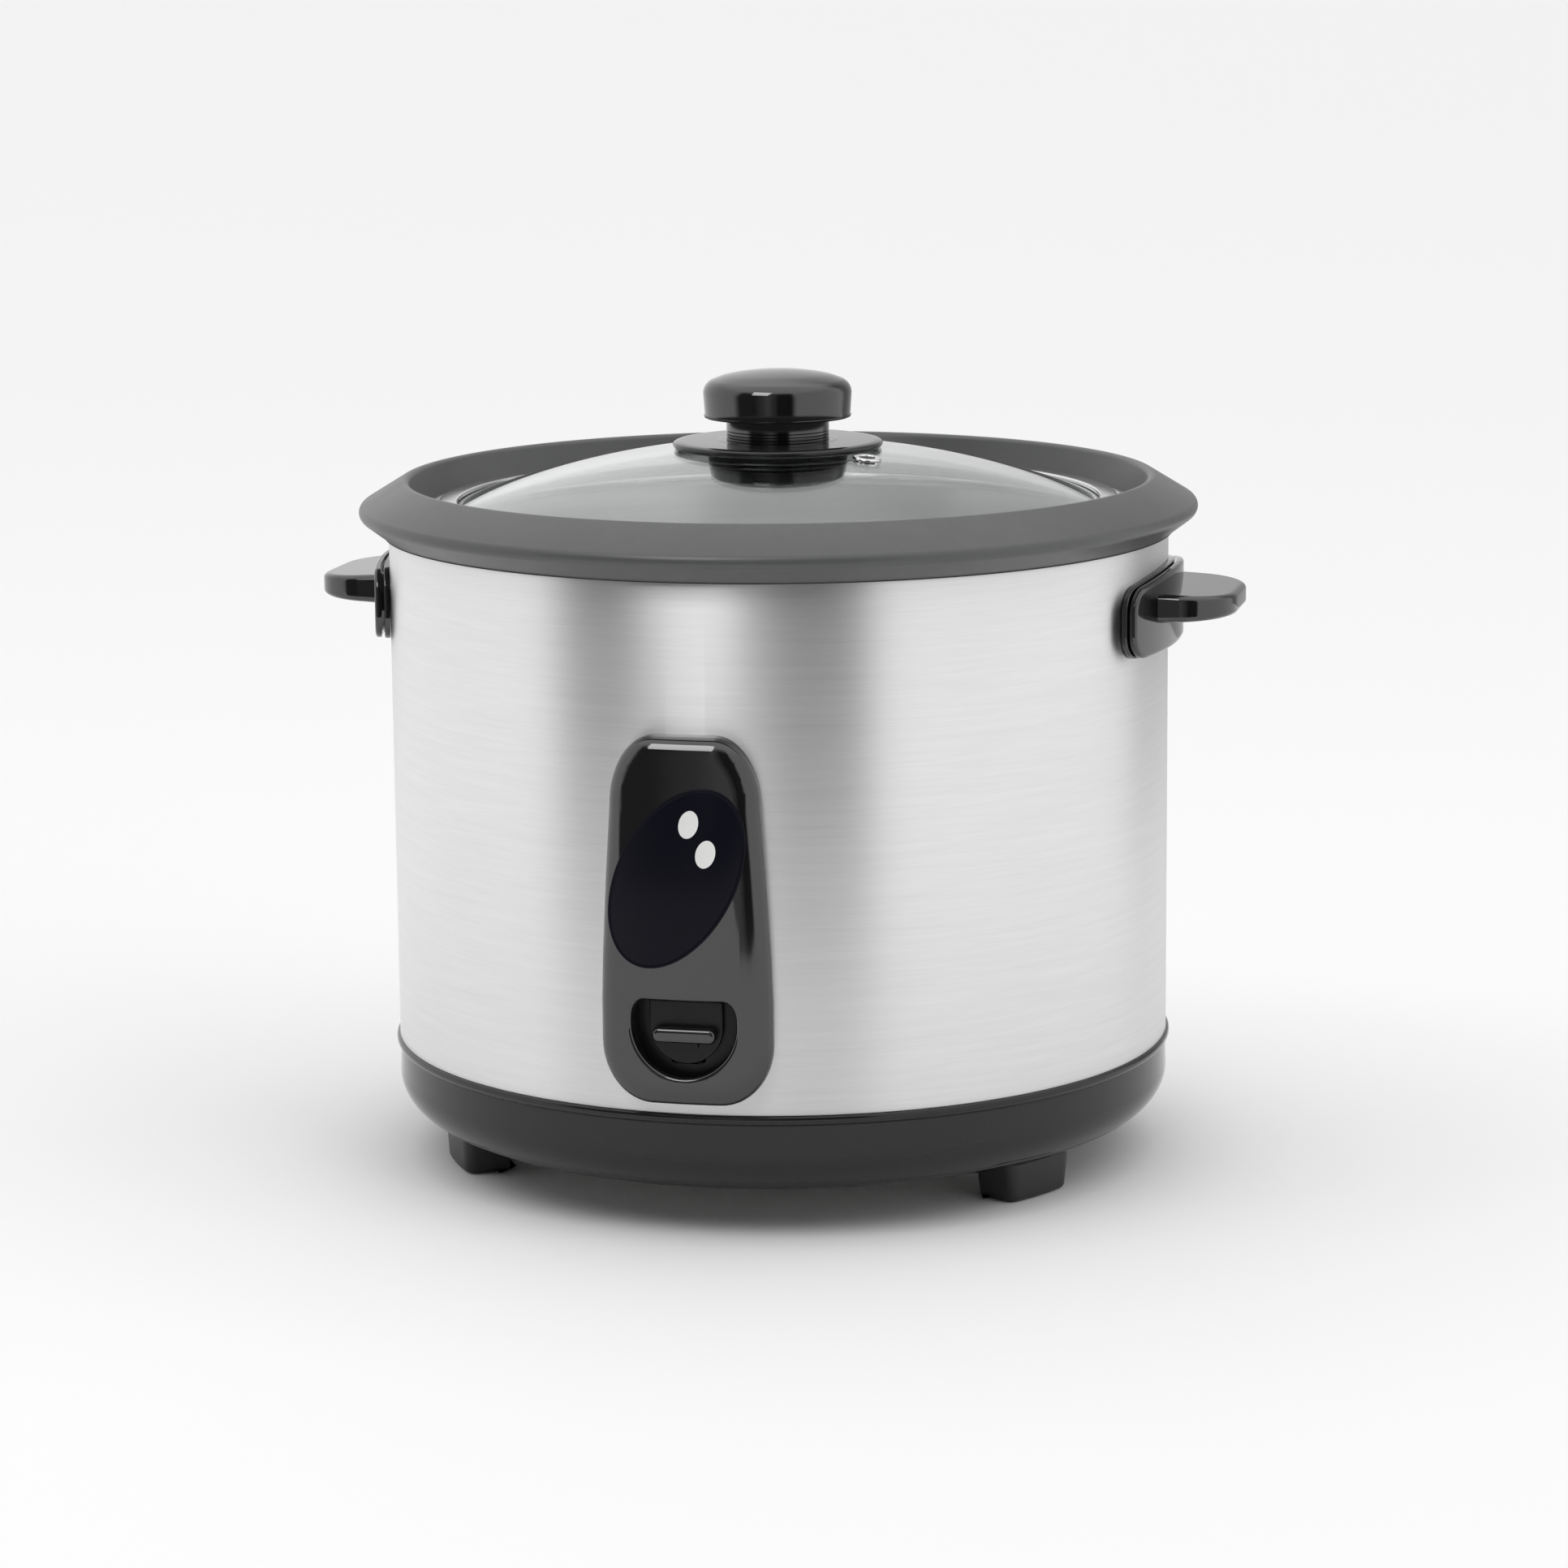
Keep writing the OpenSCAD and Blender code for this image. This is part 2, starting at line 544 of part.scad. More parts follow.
// ---- Lever and switch ----
module cheek(x, far) translate([x, 0, 0]) rotate([90, 0, 90]) linear_extrude(sheet_t) polygon(
    concat([[pivot_y - 10, liner_z], [pivot_y + 8, liner_z], [pivot_y + 8, pivot_z - 6],
        [pivot_y - 8, pivot_z - 6]],
        far ? [[pivot_y - 10, switch_top_z - 14], [switch_y - 16, switch_top_z - 14],
            [switch_y - 16, switch_top_z], [pivot_y - 12, switch_top_z + 2]] : []));
module lever_bracket() color("silver") difference() {
    union() {
        cheek(cheek_x, true);
        cheek(-cheek_x - sheet_t, false);
        block([-cheek_x - sheet_t, pivot_y - 10, liner_z - sheet_t],
            [cheek_x + sheet_t, pivot_y + 8, liner_z]);
    }
    translate([0, pivot_y, pivot_z]) rod_x(pin_r + run, -cheek_x - 3, cheek_x + 3);
}
module lever_pin() color("silver") translate([0, pivot_y, pivot_z]) {
    out = cheek_x + sheet_t;
    rod_x(pin_r, -out, out);
    rod_x(pin_r + 1.5, out, out + 1);
    rod_x(pin_r + 1.5, -out - 1, -out);
}
// The steel arm's outline from the tab to the end that lifts the magnet, carried across its width
module arm_bar() translate([-arm_w / 2, 0, 0]) rotate([90, 0, 90]) linear_extrude(arm_w) polygon([
    [tab_y + 4, tab_z + tab_h - 1], [-shell_r + 14, tab_z + tab_h - 2.6],
    [pivot_y - 6, pivot_z + 5.5], [pivot_y + 3, pivot_z + 4],
    [pivot_y + 34, lever_end_z], [8, lever_end_z], [8, lever_end_z - 3.5],
    [pivot_y + 32, lever_end_z - 3.5], [pivot_y + 2, pivot_z - 5],
    [pivot_y - 4, pivot_z - 3], [pivot_y - 9, switch_top_z + 2.4],
    [switch_y + 6, switch_top_z + plunger_up + lift_gap],
    [switch_y - 5, switch_top_z + plunger_up + lift_gap],
    [-shell_r + 14, tab_z - 3.4], [tab_y + 4, tab_z + 0.6]]);
// The arm's tongue, which the moulded tab is pushed onto
module arm_tongue(grow = 0) block([-3 - grow, arm_front_y - 8 - grow, tab_z - 0.6 - grow],
    [3 + grow, arm_front_y + 1, tab_z + 2 + grow]);
module lever_arm() color("silver") difference() {
    union() {
        intersection() {
            arm_bar();
            block([-arm_w, arm_front_y, 0], [arm_w, 60, ring_z]);
        }
        arm_tongue();
        translate([0, pivot_y, pivot_z]) rod_x(hub_r, -cheek_x + 1, cheek_x - 1);
    }
    translate([0, pivot_y, pivot_z]) rod_x(pin_r + run, -cheek_x, cheek_x);
}
module cook_lever() color("#222226") {
    tab_back = tab_y + 5;
    shield_r = pocket_back + pocket_wall + 0.4;
    shield_top = panel_z + pocket_up + pocket_h - 0.7;
    difference() {
        union() {
            intersection() {
                arm_bar();
                block([-arm_w, -shell_r - 20, 0], [arm_w, arm_front_y, ring_z]);
            }
            on_shell(shield_r, shield_r + 1.2) polygon(concat(
                arc([0, tab_z + 4.5], shield_half_w, shield_half_w, 180, 360, 16),
                [[shield_half_w, shield_top], [-shield_half_w, shield_top]]));
            translate([-tab_w / 2, 0, 0]) rotate([90, 0, 90]) linear_extrude(tab_w) polygon(concat(
                arc([tab_y + 2, tab_z + tab_h / 2], 2, tab_h / 2, 90, 270, 8),
                arc([tab_back - 1, tab_z + 1], 1, 1, 270, 360, 4),
                arc([tab_back - 1, tab_z + tab_h - 1], 1, 1, 0, 90, 4)));
        }
        arm_tongue(run);
    }
}
module micro_switch() color("#303030") {
    x1 = cheek_x;
    x0 = x1 - switch_size[0];
    difference() {
        block([x0, switch_y - 14, switch_top_z - switch_size[2]], [x1, switch_y + 14, switch_top_z]);
        translate([plunger_x, switch_y, 0]) rod_z(plunger_r + run, switch_top_z - 8, switch_top_z + 1);
    }
    for (y = [-10, 0, 10]) block([x0 + 2, switch_y + y - 3, switch_top_z - switch_size[2] - 7],
        [x0 + 2.8, switch_y + y + 3, switch_top_z - switch_size[2]]);
}
module switch_plunger() color("firebrick") translate([plunger_x, switch_y, 0])
    rod_z(plunger_r, switch_top_z - 4, switch_top_z + plunger_up);

// ---- Electrics ----
fuse_at = [0, 42, liner_z - 2.8];
module fuse_clamp() color("silver") difference() {
    block([-6, fuse_at[1] - 4, fuse_at[2] - 3.2], [6, fuse_at[1] + 4, liner_z]);
    translate(fuse_at) rod_x(2.2 + run, -9, 9);
}
module thermal_fuse() color("lightgray") translate(fuse_at) {
    rod_x(2.2, -8, 8);
    rod_x(0.6, -16, 16);
}
block_at = [-30, 68, bottom_top_z];
module terminal_block() color("ivory") difference() {
    block(block_at - [16, 8, 0], block_at + [16, 8, 13]);
    for (x = [-10, 0, 10]) translate(block_at + [x, 0, 0]) rod_z(2.6, 9, 20);
}
module inlet_screw_places() for (side = [-1, 1]) translate([side * 19.5, 0, inlet_z]) children();
module power_inlet() color("#303030") difference() {
    union() {
        intersection() {
            tube(shell_r + 30, shell_r + slip, 0, ring_top_z);
            slab(60, inlet_face_y) rounded(-25, 25, inlet_z - 13.5, inlet_z + 13.5, 4);
        }
        slab(inlet_back_y, inlet_face_y - 1) square_hole(socket_w + 5, socket_h + 5);
    }
    slab(inlet_back_y + 2.5, inlet_face_y + 1) square_hole(socket_w, socket_h);
    inlet_screw_places() rod_y(1.7, 60, inlet_face_y + 1);
    for (x = [-7, 0, 7]) translate([x, 0, inlet_z + (x == 0 ? -2 : 2)])
        block([-1 - run, inlet_back_y - 1, -2 - run], [1 + run, inlet_back_y + 4, 2 + run]);
}
module inlet_pins() color("gold") for (x = [-7, 0, 7])
    translate([x, 0, inlet_z + (x == 0 ? -2 : 2)])
        block([-1, inlet_back_y - 7, -2], [1, pin_tip_y, 2]);
module inlet_screws() color("silver") inlet_screw_places() {
    rod_y(1.5, shell_r - 8, inlet_face_y);
    rod_y(3.2, inlet_face_y, inlet_face_y + 1.6);
}
module wiring() color("brown") {
    top = bottom_top_z + 13;
    back = inlet_back_y - 7.3;
    lead_z = liner_z - 10.3;
    lead_x = element_r * cos(lead_angles[0]);
    lead_y = element_r * sin(lead_angles[0]);
    wire([[-7, back, inlet_z + 2], [-7, back - 3, inlet_z + 2], [-16, back - 14, inlet_z - 12],
        [-30, back - 24, top + 12], [-38, 72, top + 6], [-40, 68, top - 1]], 1.4);
    wire([[7, back, inlet_z + 2], [7, back - 3, inlet_z + 2], [14, back - 16, inlet_z - 8],
        [lead_x, lead_y + 10, lead_z - 10], [lead_x, lead_y, lead_z - 8], [lead_x, lead_y, lead_z]], 1.4);
    wire([[-20, 68, top - 1], [-20, 66, top + 6], [-lead_x, lead_y + 2, top + 14],
        [-lead_x, lead_y, lead_z - 8], [-lead_x, lead_y, lead_z]], 1.4);
}

// ---- Pot ----
module inner_pot() color("gainsboro") {
    c = pot_corner_r;
    z = pot_bottom_z;
    lip = [flange_r - 1.4, flange_z + 1.4];
    spin_round(concat([[0, z]], arc([pot_r - c, z + c], c, c, -90, 0, 10),
        [[pot_r, flange_z]], arc(lip, 1.4, 1.4, -90, 130, 12),
        [[flange_r - 2.8, flange_z + pot_wall], [pot_in + 0.3, flange_z + pot_wall],
            [pot_in, flange_z + pot_wall - 0.3]],
        arc([pot_r - c, z + c], c - pot_wall, c - pot_wall, 0, -90, 10), [[0, z + pot_wall]]));
}

// ---- Lid ----
module vent_place() rotate(vent_angle) translate([0, 0, dome_c])
    rotate([0, asin(vent_at_r / dome_r), 0]) translate([0, 0, dome_r]) children();
module lid_glass() color("lightcyan", 0.4) difference() {
    intersection() {
        translate([0, 0, dome_c]) sphere(r = dome_r, $fn = 200);
        rod_z(glass_r, under_dome(glass_r) - 9, dome_z + 5);
    }
    translate([0, 0, dome_c]) sphere(r = dome_r - glass_t, $fn = 200);
    rod_z(screw_hole_r + 1, 0, dome_z + 5);
    vent_place() rod_z(vent_hole_r + 1.2, -9, 9);
}
module lid_rim() color("silver") {
    lip_r = glass_r - 2.2;
    low = under_dome(glass_r) - 0.7;
    gap = 0.08;
    spin_round([[glass_r + 0.9, low], [glass_r + 0.9, rim_z], [rim_r - 0.8, rim_z],
        [rim_r, rim_z + 0.8], [rim_r, rim_z + 2.4], [rim_r - 0.8, rim_z + 3.2],
        [lip_r + 0.8, rim_z + 3.2], [lip_r, rim_z + 2.6], [lip_r, dome(lip_r) + gap],
        [glass_r + gap, dome(glass_r) + gap], [glass_r + gap, under_dome(glass_r) - gap],
        [lip_r, under_dome(lip_r) - gap], [lip_r, low]]);
}
module steam_vent() color("silver") vent_place() difference() {
    union() {
        rod_z(vent_hole_r + 1, -glass_t - 1, 0.8);
        rod_z(4.5, 0.15, 0.9);
    }
    rod_z(vent_hole_r, -glass_t - 3, 3);
}
module knob_collar() color("#2c2c30") spin_round(concat(
    [[screw_hole_r, dome_z + 0.06]],
    [for (r = [6:6:collar_r - 4]) [r, dome(r) + 0.06]],
    [[collar_r - 3, dome(collar_r - 3) + 0.06], [collar_r - 0.3, dome(collar_r) + 1.3],
        [collar_r, dome(collar_r) + 1.7], [collar_r - 0.4, dome(collar_r) + 2.1],
        [collar_r - 1.6, dome(collar_r) + 2.5], [neck_r + 2, collar_top_z],
        [screw_hole_r, collar_top_z]]));
module knob() color("#222226") difference() {
    crown = collar_top_z + knob_h;
    under = crown - 15.2;
    spin_round(concat([[0, collar_top_z], [neck_r, collar_top_z], [neck_r, under],
        [knob_r - 0.8, under], [knob_r, under + 0.8], [knob_r, crown - 7.6]],
        arc([knob_r - 5, crown - 7.6], 5, 4.8, 0, 60, 8),
        [[knob_r - 8, crown - 1.4], [knob_r * 0.33, crown - 0.4], [0, crown]]));
    rod_z(screw_hole_r - 0.5, 0, crown - 8);
}
module knob_retainer() color("#2c2c30") difference() {
    top = under_dome(23) - 0.1;
    spin_round([[0, top], [23, top], [22.8, top - 2], [20.8, top - 8], [20, top - 8.6],
        [15, top - 8.6], [13, top - 4], [0, top - 4]]);
    rod_z(screw_hole_r, 0, dome_z);
}
module knob_screw() color("silver") {
    seat = under_dome(23) - 4.1;
    rod_z(screw_hole_r - 0.6, seat, collar_top_z + 12);
    rod_z(4.2, seat - 2.4, seat);
}

outer_shell();
top_ring();
base_ring();
bottom_plate();
bottom_screws();
foot_front_left();
foot_front_right();
foot_rear();
rating_label();
control_panel();
panel_badge();
warm_lens();
cook_lens();
lamp_holder();
neon_lamps();
lever_pocket();
panel_screws();
handle_left();
handle_right();
handle_screws();
inner_liner();
heating_plate();
heating_element();
heater_posts();
heater_screws();
thermostat_bracket();
thermostat_sleeve();
bracket_screws();
sensor_spring();
sensor_cap();
sensor_ferrite();
magnet();
magnet_rod();
magnet_spring();
lever_bracket();
lever_pin();
lever_arm();
cook_lever();
micro_switch();
switch_plunger();
thermal_fuse();
fuse_clamp();
terminal_block();
power_inlet();
inlet_pins();
inlet_screws();
wiring();
inner_pot();
lid_glass();
lid_rim();
steam_vent();
knob();
knob_collar();
knob_retainer();
knob_screw();
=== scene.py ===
import bpy, bmesh, json, math
from mathutils import Matrix, Vector


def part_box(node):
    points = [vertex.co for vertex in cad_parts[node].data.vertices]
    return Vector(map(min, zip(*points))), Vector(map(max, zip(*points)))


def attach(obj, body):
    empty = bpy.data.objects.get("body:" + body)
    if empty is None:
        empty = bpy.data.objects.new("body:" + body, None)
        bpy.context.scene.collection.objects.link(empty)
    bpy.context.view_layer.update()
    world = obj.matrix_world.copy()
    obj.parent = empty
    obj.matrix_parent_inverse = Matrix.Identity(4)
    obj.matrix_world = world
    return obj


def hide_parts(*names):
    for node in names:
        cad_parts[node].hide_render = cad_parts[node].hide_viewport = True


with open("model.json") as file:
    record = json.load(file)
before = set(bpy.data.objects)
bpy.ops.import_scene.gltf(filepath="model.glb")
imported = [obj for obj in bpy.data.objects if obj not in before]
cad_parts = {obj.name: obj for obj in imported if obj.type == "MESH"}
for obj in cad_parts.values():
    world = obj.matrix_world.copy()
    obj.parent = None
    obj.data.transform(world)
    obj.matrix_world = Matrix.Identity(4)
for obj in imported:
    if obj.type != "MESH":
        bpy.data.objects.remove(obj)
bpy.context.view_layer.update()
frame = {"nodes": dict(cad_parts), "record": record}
mm = 0.001


# The camera, the floor and the light
viewPoint = {
    "place": (0.3600, -1.5429, 0.4173),
    "towards": (-0.2227, 0.9572, -0.1851),
    "roll": -0.514,
    "lens": 113.1,
}


def placeCamera():
    camera = bpy.data.objects.new("camera", bpy.data.cameras.new("camera"))
    bpy.context.scene.collection.objects.link(camera)
    camera.data.lens = viewPoint["lens"]
    camera.data.sensor_width = 36
    camera.data.clip_end = 200
    forward = Vector(viewPoint["towards"]).normalized()
    level = forward.cross(Vector((0, 0, 1))).normalized()
    upright = level.cross(forward)
    roll = math.radians(viewPoint["roll"])
    right = level * math.cos(roll) + upright * math.sin(roll)
    up = upright * math.cos(roll) - level * math.sin(roll)
    turn = Matrix((right, up, -forward)).transposed().to_4x4()
    camera.matrix_world = Matrix.Translation(viewPoint["place"]) @ turn
    bpy.context.scene.camera = camera


# The room's light by compass direction, in degrees from the front towards +X: (direction, brightness)
studio = {
    "bands": [(-180, 0.62), (-160, 0.95), (-62, 1.0), (-47, 0.08), (-24, 0.07), (-12, 0.20),
              (-2, 0.36), (8, 0.18), (15, 0.03), (34, 0.03), (45, 1.0), (128, 1.0), (144, 0.34), (180, 0.55)],
    "overhead": 1.3,
    "floorSize": 60.0,
    "floorColour": 0.90,
    "tableWidth": 2.4,
    "tableDepth": 1.6,
    "tableFront": -0.542,
    "floorZ": -0.0006,
    "tableZ": -0.0004,
    "aim": (0, 0, 0.12),
}


def lightRoom():
    world = bpy.data.worlds.new("studio")
    bpy.context.scene.world = world
    world.use_nodes = True
    nodes, links = world.node_tree.nodes, world.node_tree.links
    nodes.clear()
    where = nodes.new("ShaderNodeTexCoord")
    split = nodes.new("ShaderNodeSeparateXYZ")
    links.new(where.outputs["Generated"], split.inputs[0])
    back = nodes.new("ShaderNodeMath")
    back.operation = "MULTIPLY"
    back.inputs[1].default_value = -1
    links.new(split.outputs["Y"], back.inputs[0])
    compass = nodes.new("ShaderNodeMath")
    compass.operation = "ARCTAN2"
    links.new(split.outputs["X"], compass.inputs[0])
    links.new(back.outputs[0], compass.inputs[1])
    turn = nodes.new("ShaderNodeMapRange")
    turn.inputs["From Min"].default_value = -math.pi
    turn.inputs["From Max"].default_value = math.pi
    links.new(compass.outputs[0], turn.inputs["Value"])
    ramp = nodes.new("ShaderNodeValToRGB")
    ramp.color_ramp.interpolation = "EASE"
    stops = ramp.color_ramp.elements
    for i, (angle, light) in enumerate(studio["bands"]):
        at = (angle + 180) / 360
        stop = stops[i] if i < 2 else stops.new(at)
        stop.position = at
        stop.color = (light, light, light, 1)
    links.new(turn.outputs["Result"], ramp.inputs["Fac"])
    # Overhead the room is evenly bright
    height = nodes.new("ShaderNodeMapRange")
    height.interpolation_type = "SMOOTHSTEP"
    height.inputs["From Min"].default_value = 0.55
    height.inputs["From Max"].default_value = 0.85
    links.new(split.outputs["Z"], height.inputs["Value"])
    mix = nodes.new("ShaderNodeMix")
    mix.data_type = "RGBA"
    links.new(height.outputs["Result"], mix.inputs["Factor"])
    links.new(ramp.outputs["Color"], mix.inputs[6])
    mix.inputs[7].default_value = (studio["overhead"],) * 3 + (1,)
    light = nodes.new("ShaderNodeBackground")
    links.new(mix.outputs[2], light.inputs["Color"])
    out = nodes.new("ShaderNodeOutputWorld")
    links.new(light.outputs[0], out.inputs["Surface"])


def addPlane(name, width, depth, z, colour, y=0.0):
    bpy.ops.mesh.primitive_plane_add(size=1, location=(0, y, z))
    plane = bpy.context.object
    plane.name = name
    plane.scale = (width, depth, 1)
    bpy.ops.object.transform_apply(location=True, rotation=True, scale=True)
    material = bpy.data.materials.new(name)
    material.use_nodes = True
    shader = material.node_tree.nodes["Principled BSDF"]
    shader.inputs["Base Color"].default_value = (colour, colour, colour, 1)
    shader.inputs["Roughness"].default_value = 0.9
    shader.inputs["Specular IOR Level"].default_value = 0.1
    plane.data.materials.append(material)
    return plane


lamps = [
    {"name": "keyLight", "place": (-1.3, -1.1, 1.9), "size": 1.4, "power": 5},
    {"name": "fillLight", "place": (1.6, -0.7, 1.6), "size": 1.4, "power": 4},
    {"name": "softBox", "place": (-0.30, -1.04, 1.17), "size": 0.6, "power": 5.5, "mirrored": True},
]


def addLamp(name, place, size, power, mirrored=False):  # a mirrored lamp is only seen in what is glossy
    lamp = bpy.data.objects.new(name, bpy.data.lights.new(name, "AREA"))
    bpy.context.scene.collection.objects.link(lamp)
    lamp.data.size = size
    lamp.data.energy = power
    lamp.location = place
    lamp.rotation_euler = (Vector(studio["aim"]) - Vector(place)).to_track_quat("-Z", "Y").to_euler()
    lamp.visible_camera = False
    lamp.visible_glossy = mirrored
    lamp.visible_diffuse = not mirrored


placeCamera()
lightRoom()
floor = addPlane("floor", studio["floorSize"], studio["floorSize"], studio["floorZ"], studio["floorColour"])
floor.visible_glossy = False
# Only the near part of the floor shows in what is glossy
addPlane("table", studio["tableWidth"], studio["tableDepth"], studio["tableZ"], studio["floorColour"],
         studio["tableFront"] + studio["tableDepth"] / 2)
for lamp in lamps:
    addLamp(**lamp)
bpy.context.scene.view_settings.view_transform = "Standard"
print("camera, floor and light are placed")


# Effects that several finishes share

def newGroup(name, inputs, outputs):
    group = bpy.data.node_groups.new(name, "ShaderNodeTree")
    for label, kind, value in inputs:
        socket = group.interface.new_socket(name=label, in_out="INPUT", socket_type=kind)
        socket.default_value = value
    for label, kind in outputs:
        group.interface.new_socket(name=label, in_out="OUTPUT", socket_type=kind)
    start = group.nodes.new("NodeGroupInput")
    end = group.nodes.new("NodeGroupOutput")
    return group, start, end


def addNode(tree, kind, **values):
    node = tree.nodes.new(kind)
    for key, value in values.items():
        setattr(node, key, value)
    return node


def makeGrain():  # fine moulded grain with a softer, larger unevenness
    group, start, end = newGroup(
        "mouldedGrain",
        [("Scale", "NodeSocketFloat", 900.0), ("Stretch", "NodeSocketVector", (1, 1, 1))],
        [("Height", "NodeSocketFloat"), ("Uneven", "NodeSocketFloat")])
    where = addNode(group, "ShaderNodeTexCoord")
    stretch = addNode(group, "ShaderNodeVectorMath", operation="MULTIPLY")
    fine = addNode(group, "ShaderNodeTexNoise")
    fine.inputs["Detail"].default_value = 4
    coarse = addNode(group, "ShaderNodeTexNoise")
    coarse.inputs["Detail"].default_value = 2
    part = addNode(group, "ShaderNodeMath", operation="MULTIPLY")
    part.inputs[1].default_value = 0.06
    link = group.links.new
    link(where.outputs["Object"], stretch.inputs[0])
    link(start.outputs["Stretch"], stretch.inputs[1])
    link(stretch.outputs[0], fine.inputs["Vector"])
    link(stretch.outputs[0], coarse.inputs["Vector"])
    link(start.outputs["Scale"], fine.inputs["Scale"])
    link(start.outputs["Scale"], part.inputs[0])
    link(part.outputs[0], coarse.inputs["Scale"])
    link(fine.outputs["Fac"], end.inputs["Height"])
    link(coarse.outputs["Fac"], end.inputs["Uneven"])
    return group


def makeHandling():  # soft smudges and faint wipe marks that change the gloss
    group, start, end = newGroup(
        "handling",
        [("Scale", "NodeSocketFloat", 30.0), ("Gloss", "NodeSocketFloat", 0.2),
         ("Change", "NodeSocketFloat", 0.05)],
        [("Roughness", "NodeSocketFloat")])
    where = addNode(group, "ShaderNodeTexCoord")
    cloud = addNode(group, "ShaderNodeTexNoise")
    cloud.inputs["Detail"].default_value = 5
    cloud.inputs["Roughness"].default_value = 0.6
    spread = addNode(group, "ShaderNodeMapRange", interpolation_type="SMOOTHSTEP")
    spread.inputs["From Min"].default_value = 0.42
    spread.inputs["From Max"].default_value = 0.68
    more = addNode(group, "ShaderNodeMath", operation="MULTIPLY_ADD")
    link = group.links.new
    link(where.outputs["Object"], cloud.inputs["Vector"])
    link(start.outputs["Scale"], cloud.inputs["Scale"])
    link(cloud.outputs["Fac"], spread.inputs["Value"])
    link(spread.outputs["Result"], more.inputs[0])
    link(start.outputs["Change"], more.inputs[1])
    link(start.outputs["Gloss"], more.inputs[2])
    link(more.outputs[0], end.inputs["Roughness"])
    return group


def makeDust():  # a trace of dust on what faces up
    group, start, end = newGroup(
        "dust",
        [("Colour", "NodeSocketColor", (0.5, 0.5, 0.5, 1)), ("Amount", "NodeSocketFloat", 0.05)],
        [("Colour", "NodeSocketColor")])
    shape = addNode(group, "ShaderNodeNewGeometry")
    where = addNode(group, "ShaderNodeTexCoord")
    split = addNode(group, "ShaderNodeSeparateXYZ")
    up = addNode(group, "ShaderNodeMapRange", interpolation_type="SMOOTHSTEP")
    up.inputs["From Min"].default_value = 0.55
    up.inputs["From Max"].default_value = 1.0
    speck = addNode(group, "ShaderNodeTexNoise")
    speck.inputs["Scale"].default_value = 260
    speck.inputs["Detail"].default_value = 6
    both = addNode(group, "ShaderNodeMath", operation="MULTIPLY")
    some = addNode(group, "ShaderNodeMath", operation="MULTIPLY")
    mix = addNode(group, "ShaderNodeMix", data_type="RGBA")
    mix.inputs[7].default_value = (0.62, 0.60, 0.57, 1)
    link = group.links.new
    link(shape.outputs["Normal"], split.inputs[0])
    link(split.outputs["Z"], up.inputs["Value"])
    link(where.outputs["Object"], speck.inputs["Vector"])
    link(up.outputs["Result"], both.inputs[0])
    link(speck.outputs["Fac"], both.inputs[1])
    link(both.outputs[0], some.inputs[0])
    link(start.outputs["Amount"], some.inputs[1])
    link(some.outputs[0], mix.inputs["Factor"])
    link(start.outputs["Colour"], mix.inputs[6])
    link(mix.outputs[2], end.inputs["Colour"])
    return group


def makeBrushing():  # fine level brush lines at two pitches, which also change the gloss a little
    group, start, end = newGroup(
        "brushing",
        [("Pitch", "NodeSocketFloat", 1.0), ("Length", "NodeSocketFloat", 20.0)],
        [("Height", "NodeSocketFloat"), ("Tone", "NodeSocketFloat")])
    where = addNode(group, "ShaderNodeTexCoord")
    link = group.links.new
    fields = []
    for across, along in ((900, 1.0), (3600, 1.6)):
        lines = addNode(group, "ShaderNodeTexNoise")
        lines.inputs["Scale"].default_value = 1.0
        lines.inputs["Detail"].default_value = 3
        lines.inputs["Roughness"].default_value = 0.65
        size = addNode(group, "ShaderNodeCombineXYZ")
        for axis in "XY":
            spread = addNode(group, "ShaderNodeMath", operation="MULTIPLY")
            spread.inputs[1].default_value = along
            link(start.outputs["Length"], spread.inputs[0])
            link(spread.outputs[0], size.inputs[axis])
        tall = addNode(group, "ShaderNodeMath", operation="MULTIPLY")
        tall.inputs[1].default_value = across
        link(start.outputs["Pitch"], tall.inputs[0])
        link(tall.outputs[0], size.inputs["Z"])
        stretch = addNode(group, "ShaderNodeVectorMath", operation="MULTIPLY")
        link(where.outputs["Object"], stretch.inputs[0])
        link(size.outputs[0], stretch.inputs[1])
        link(stretch.outputs[0], lines.inputs["Vector"])
        fields.append(lines)
    both = addNode(group, "ShaderNodeMath", operation="ADD")
    half = addNode(group, "ShaderNodeMath", operation="MULTIPLY")
    half.inputs[1].default_value = 0.5
    link(fields[0].outputs["Fac"], both.inputs[0])
    link(fields[1].outputs["Fac"], both.inputs[1])
    link(both.outputs[0], half.inputs[0])
    link(half.outputs[0], end.inputs["Tone"])
    link(fields[1].outputs["Fac"], end.inputs["Height"])
    return group


grainGroup, handlingGroup, dustGroup, brushGroup = makeGrain(), makeHandling(), makeDust(), makeBrushing()


def startMaterial(name):
    material = bpy.data.materials.new(name)
    material.use_nodes = True
    tree = material.node_tree
    return material, tree, tree.nodes["Principled BSDF"]


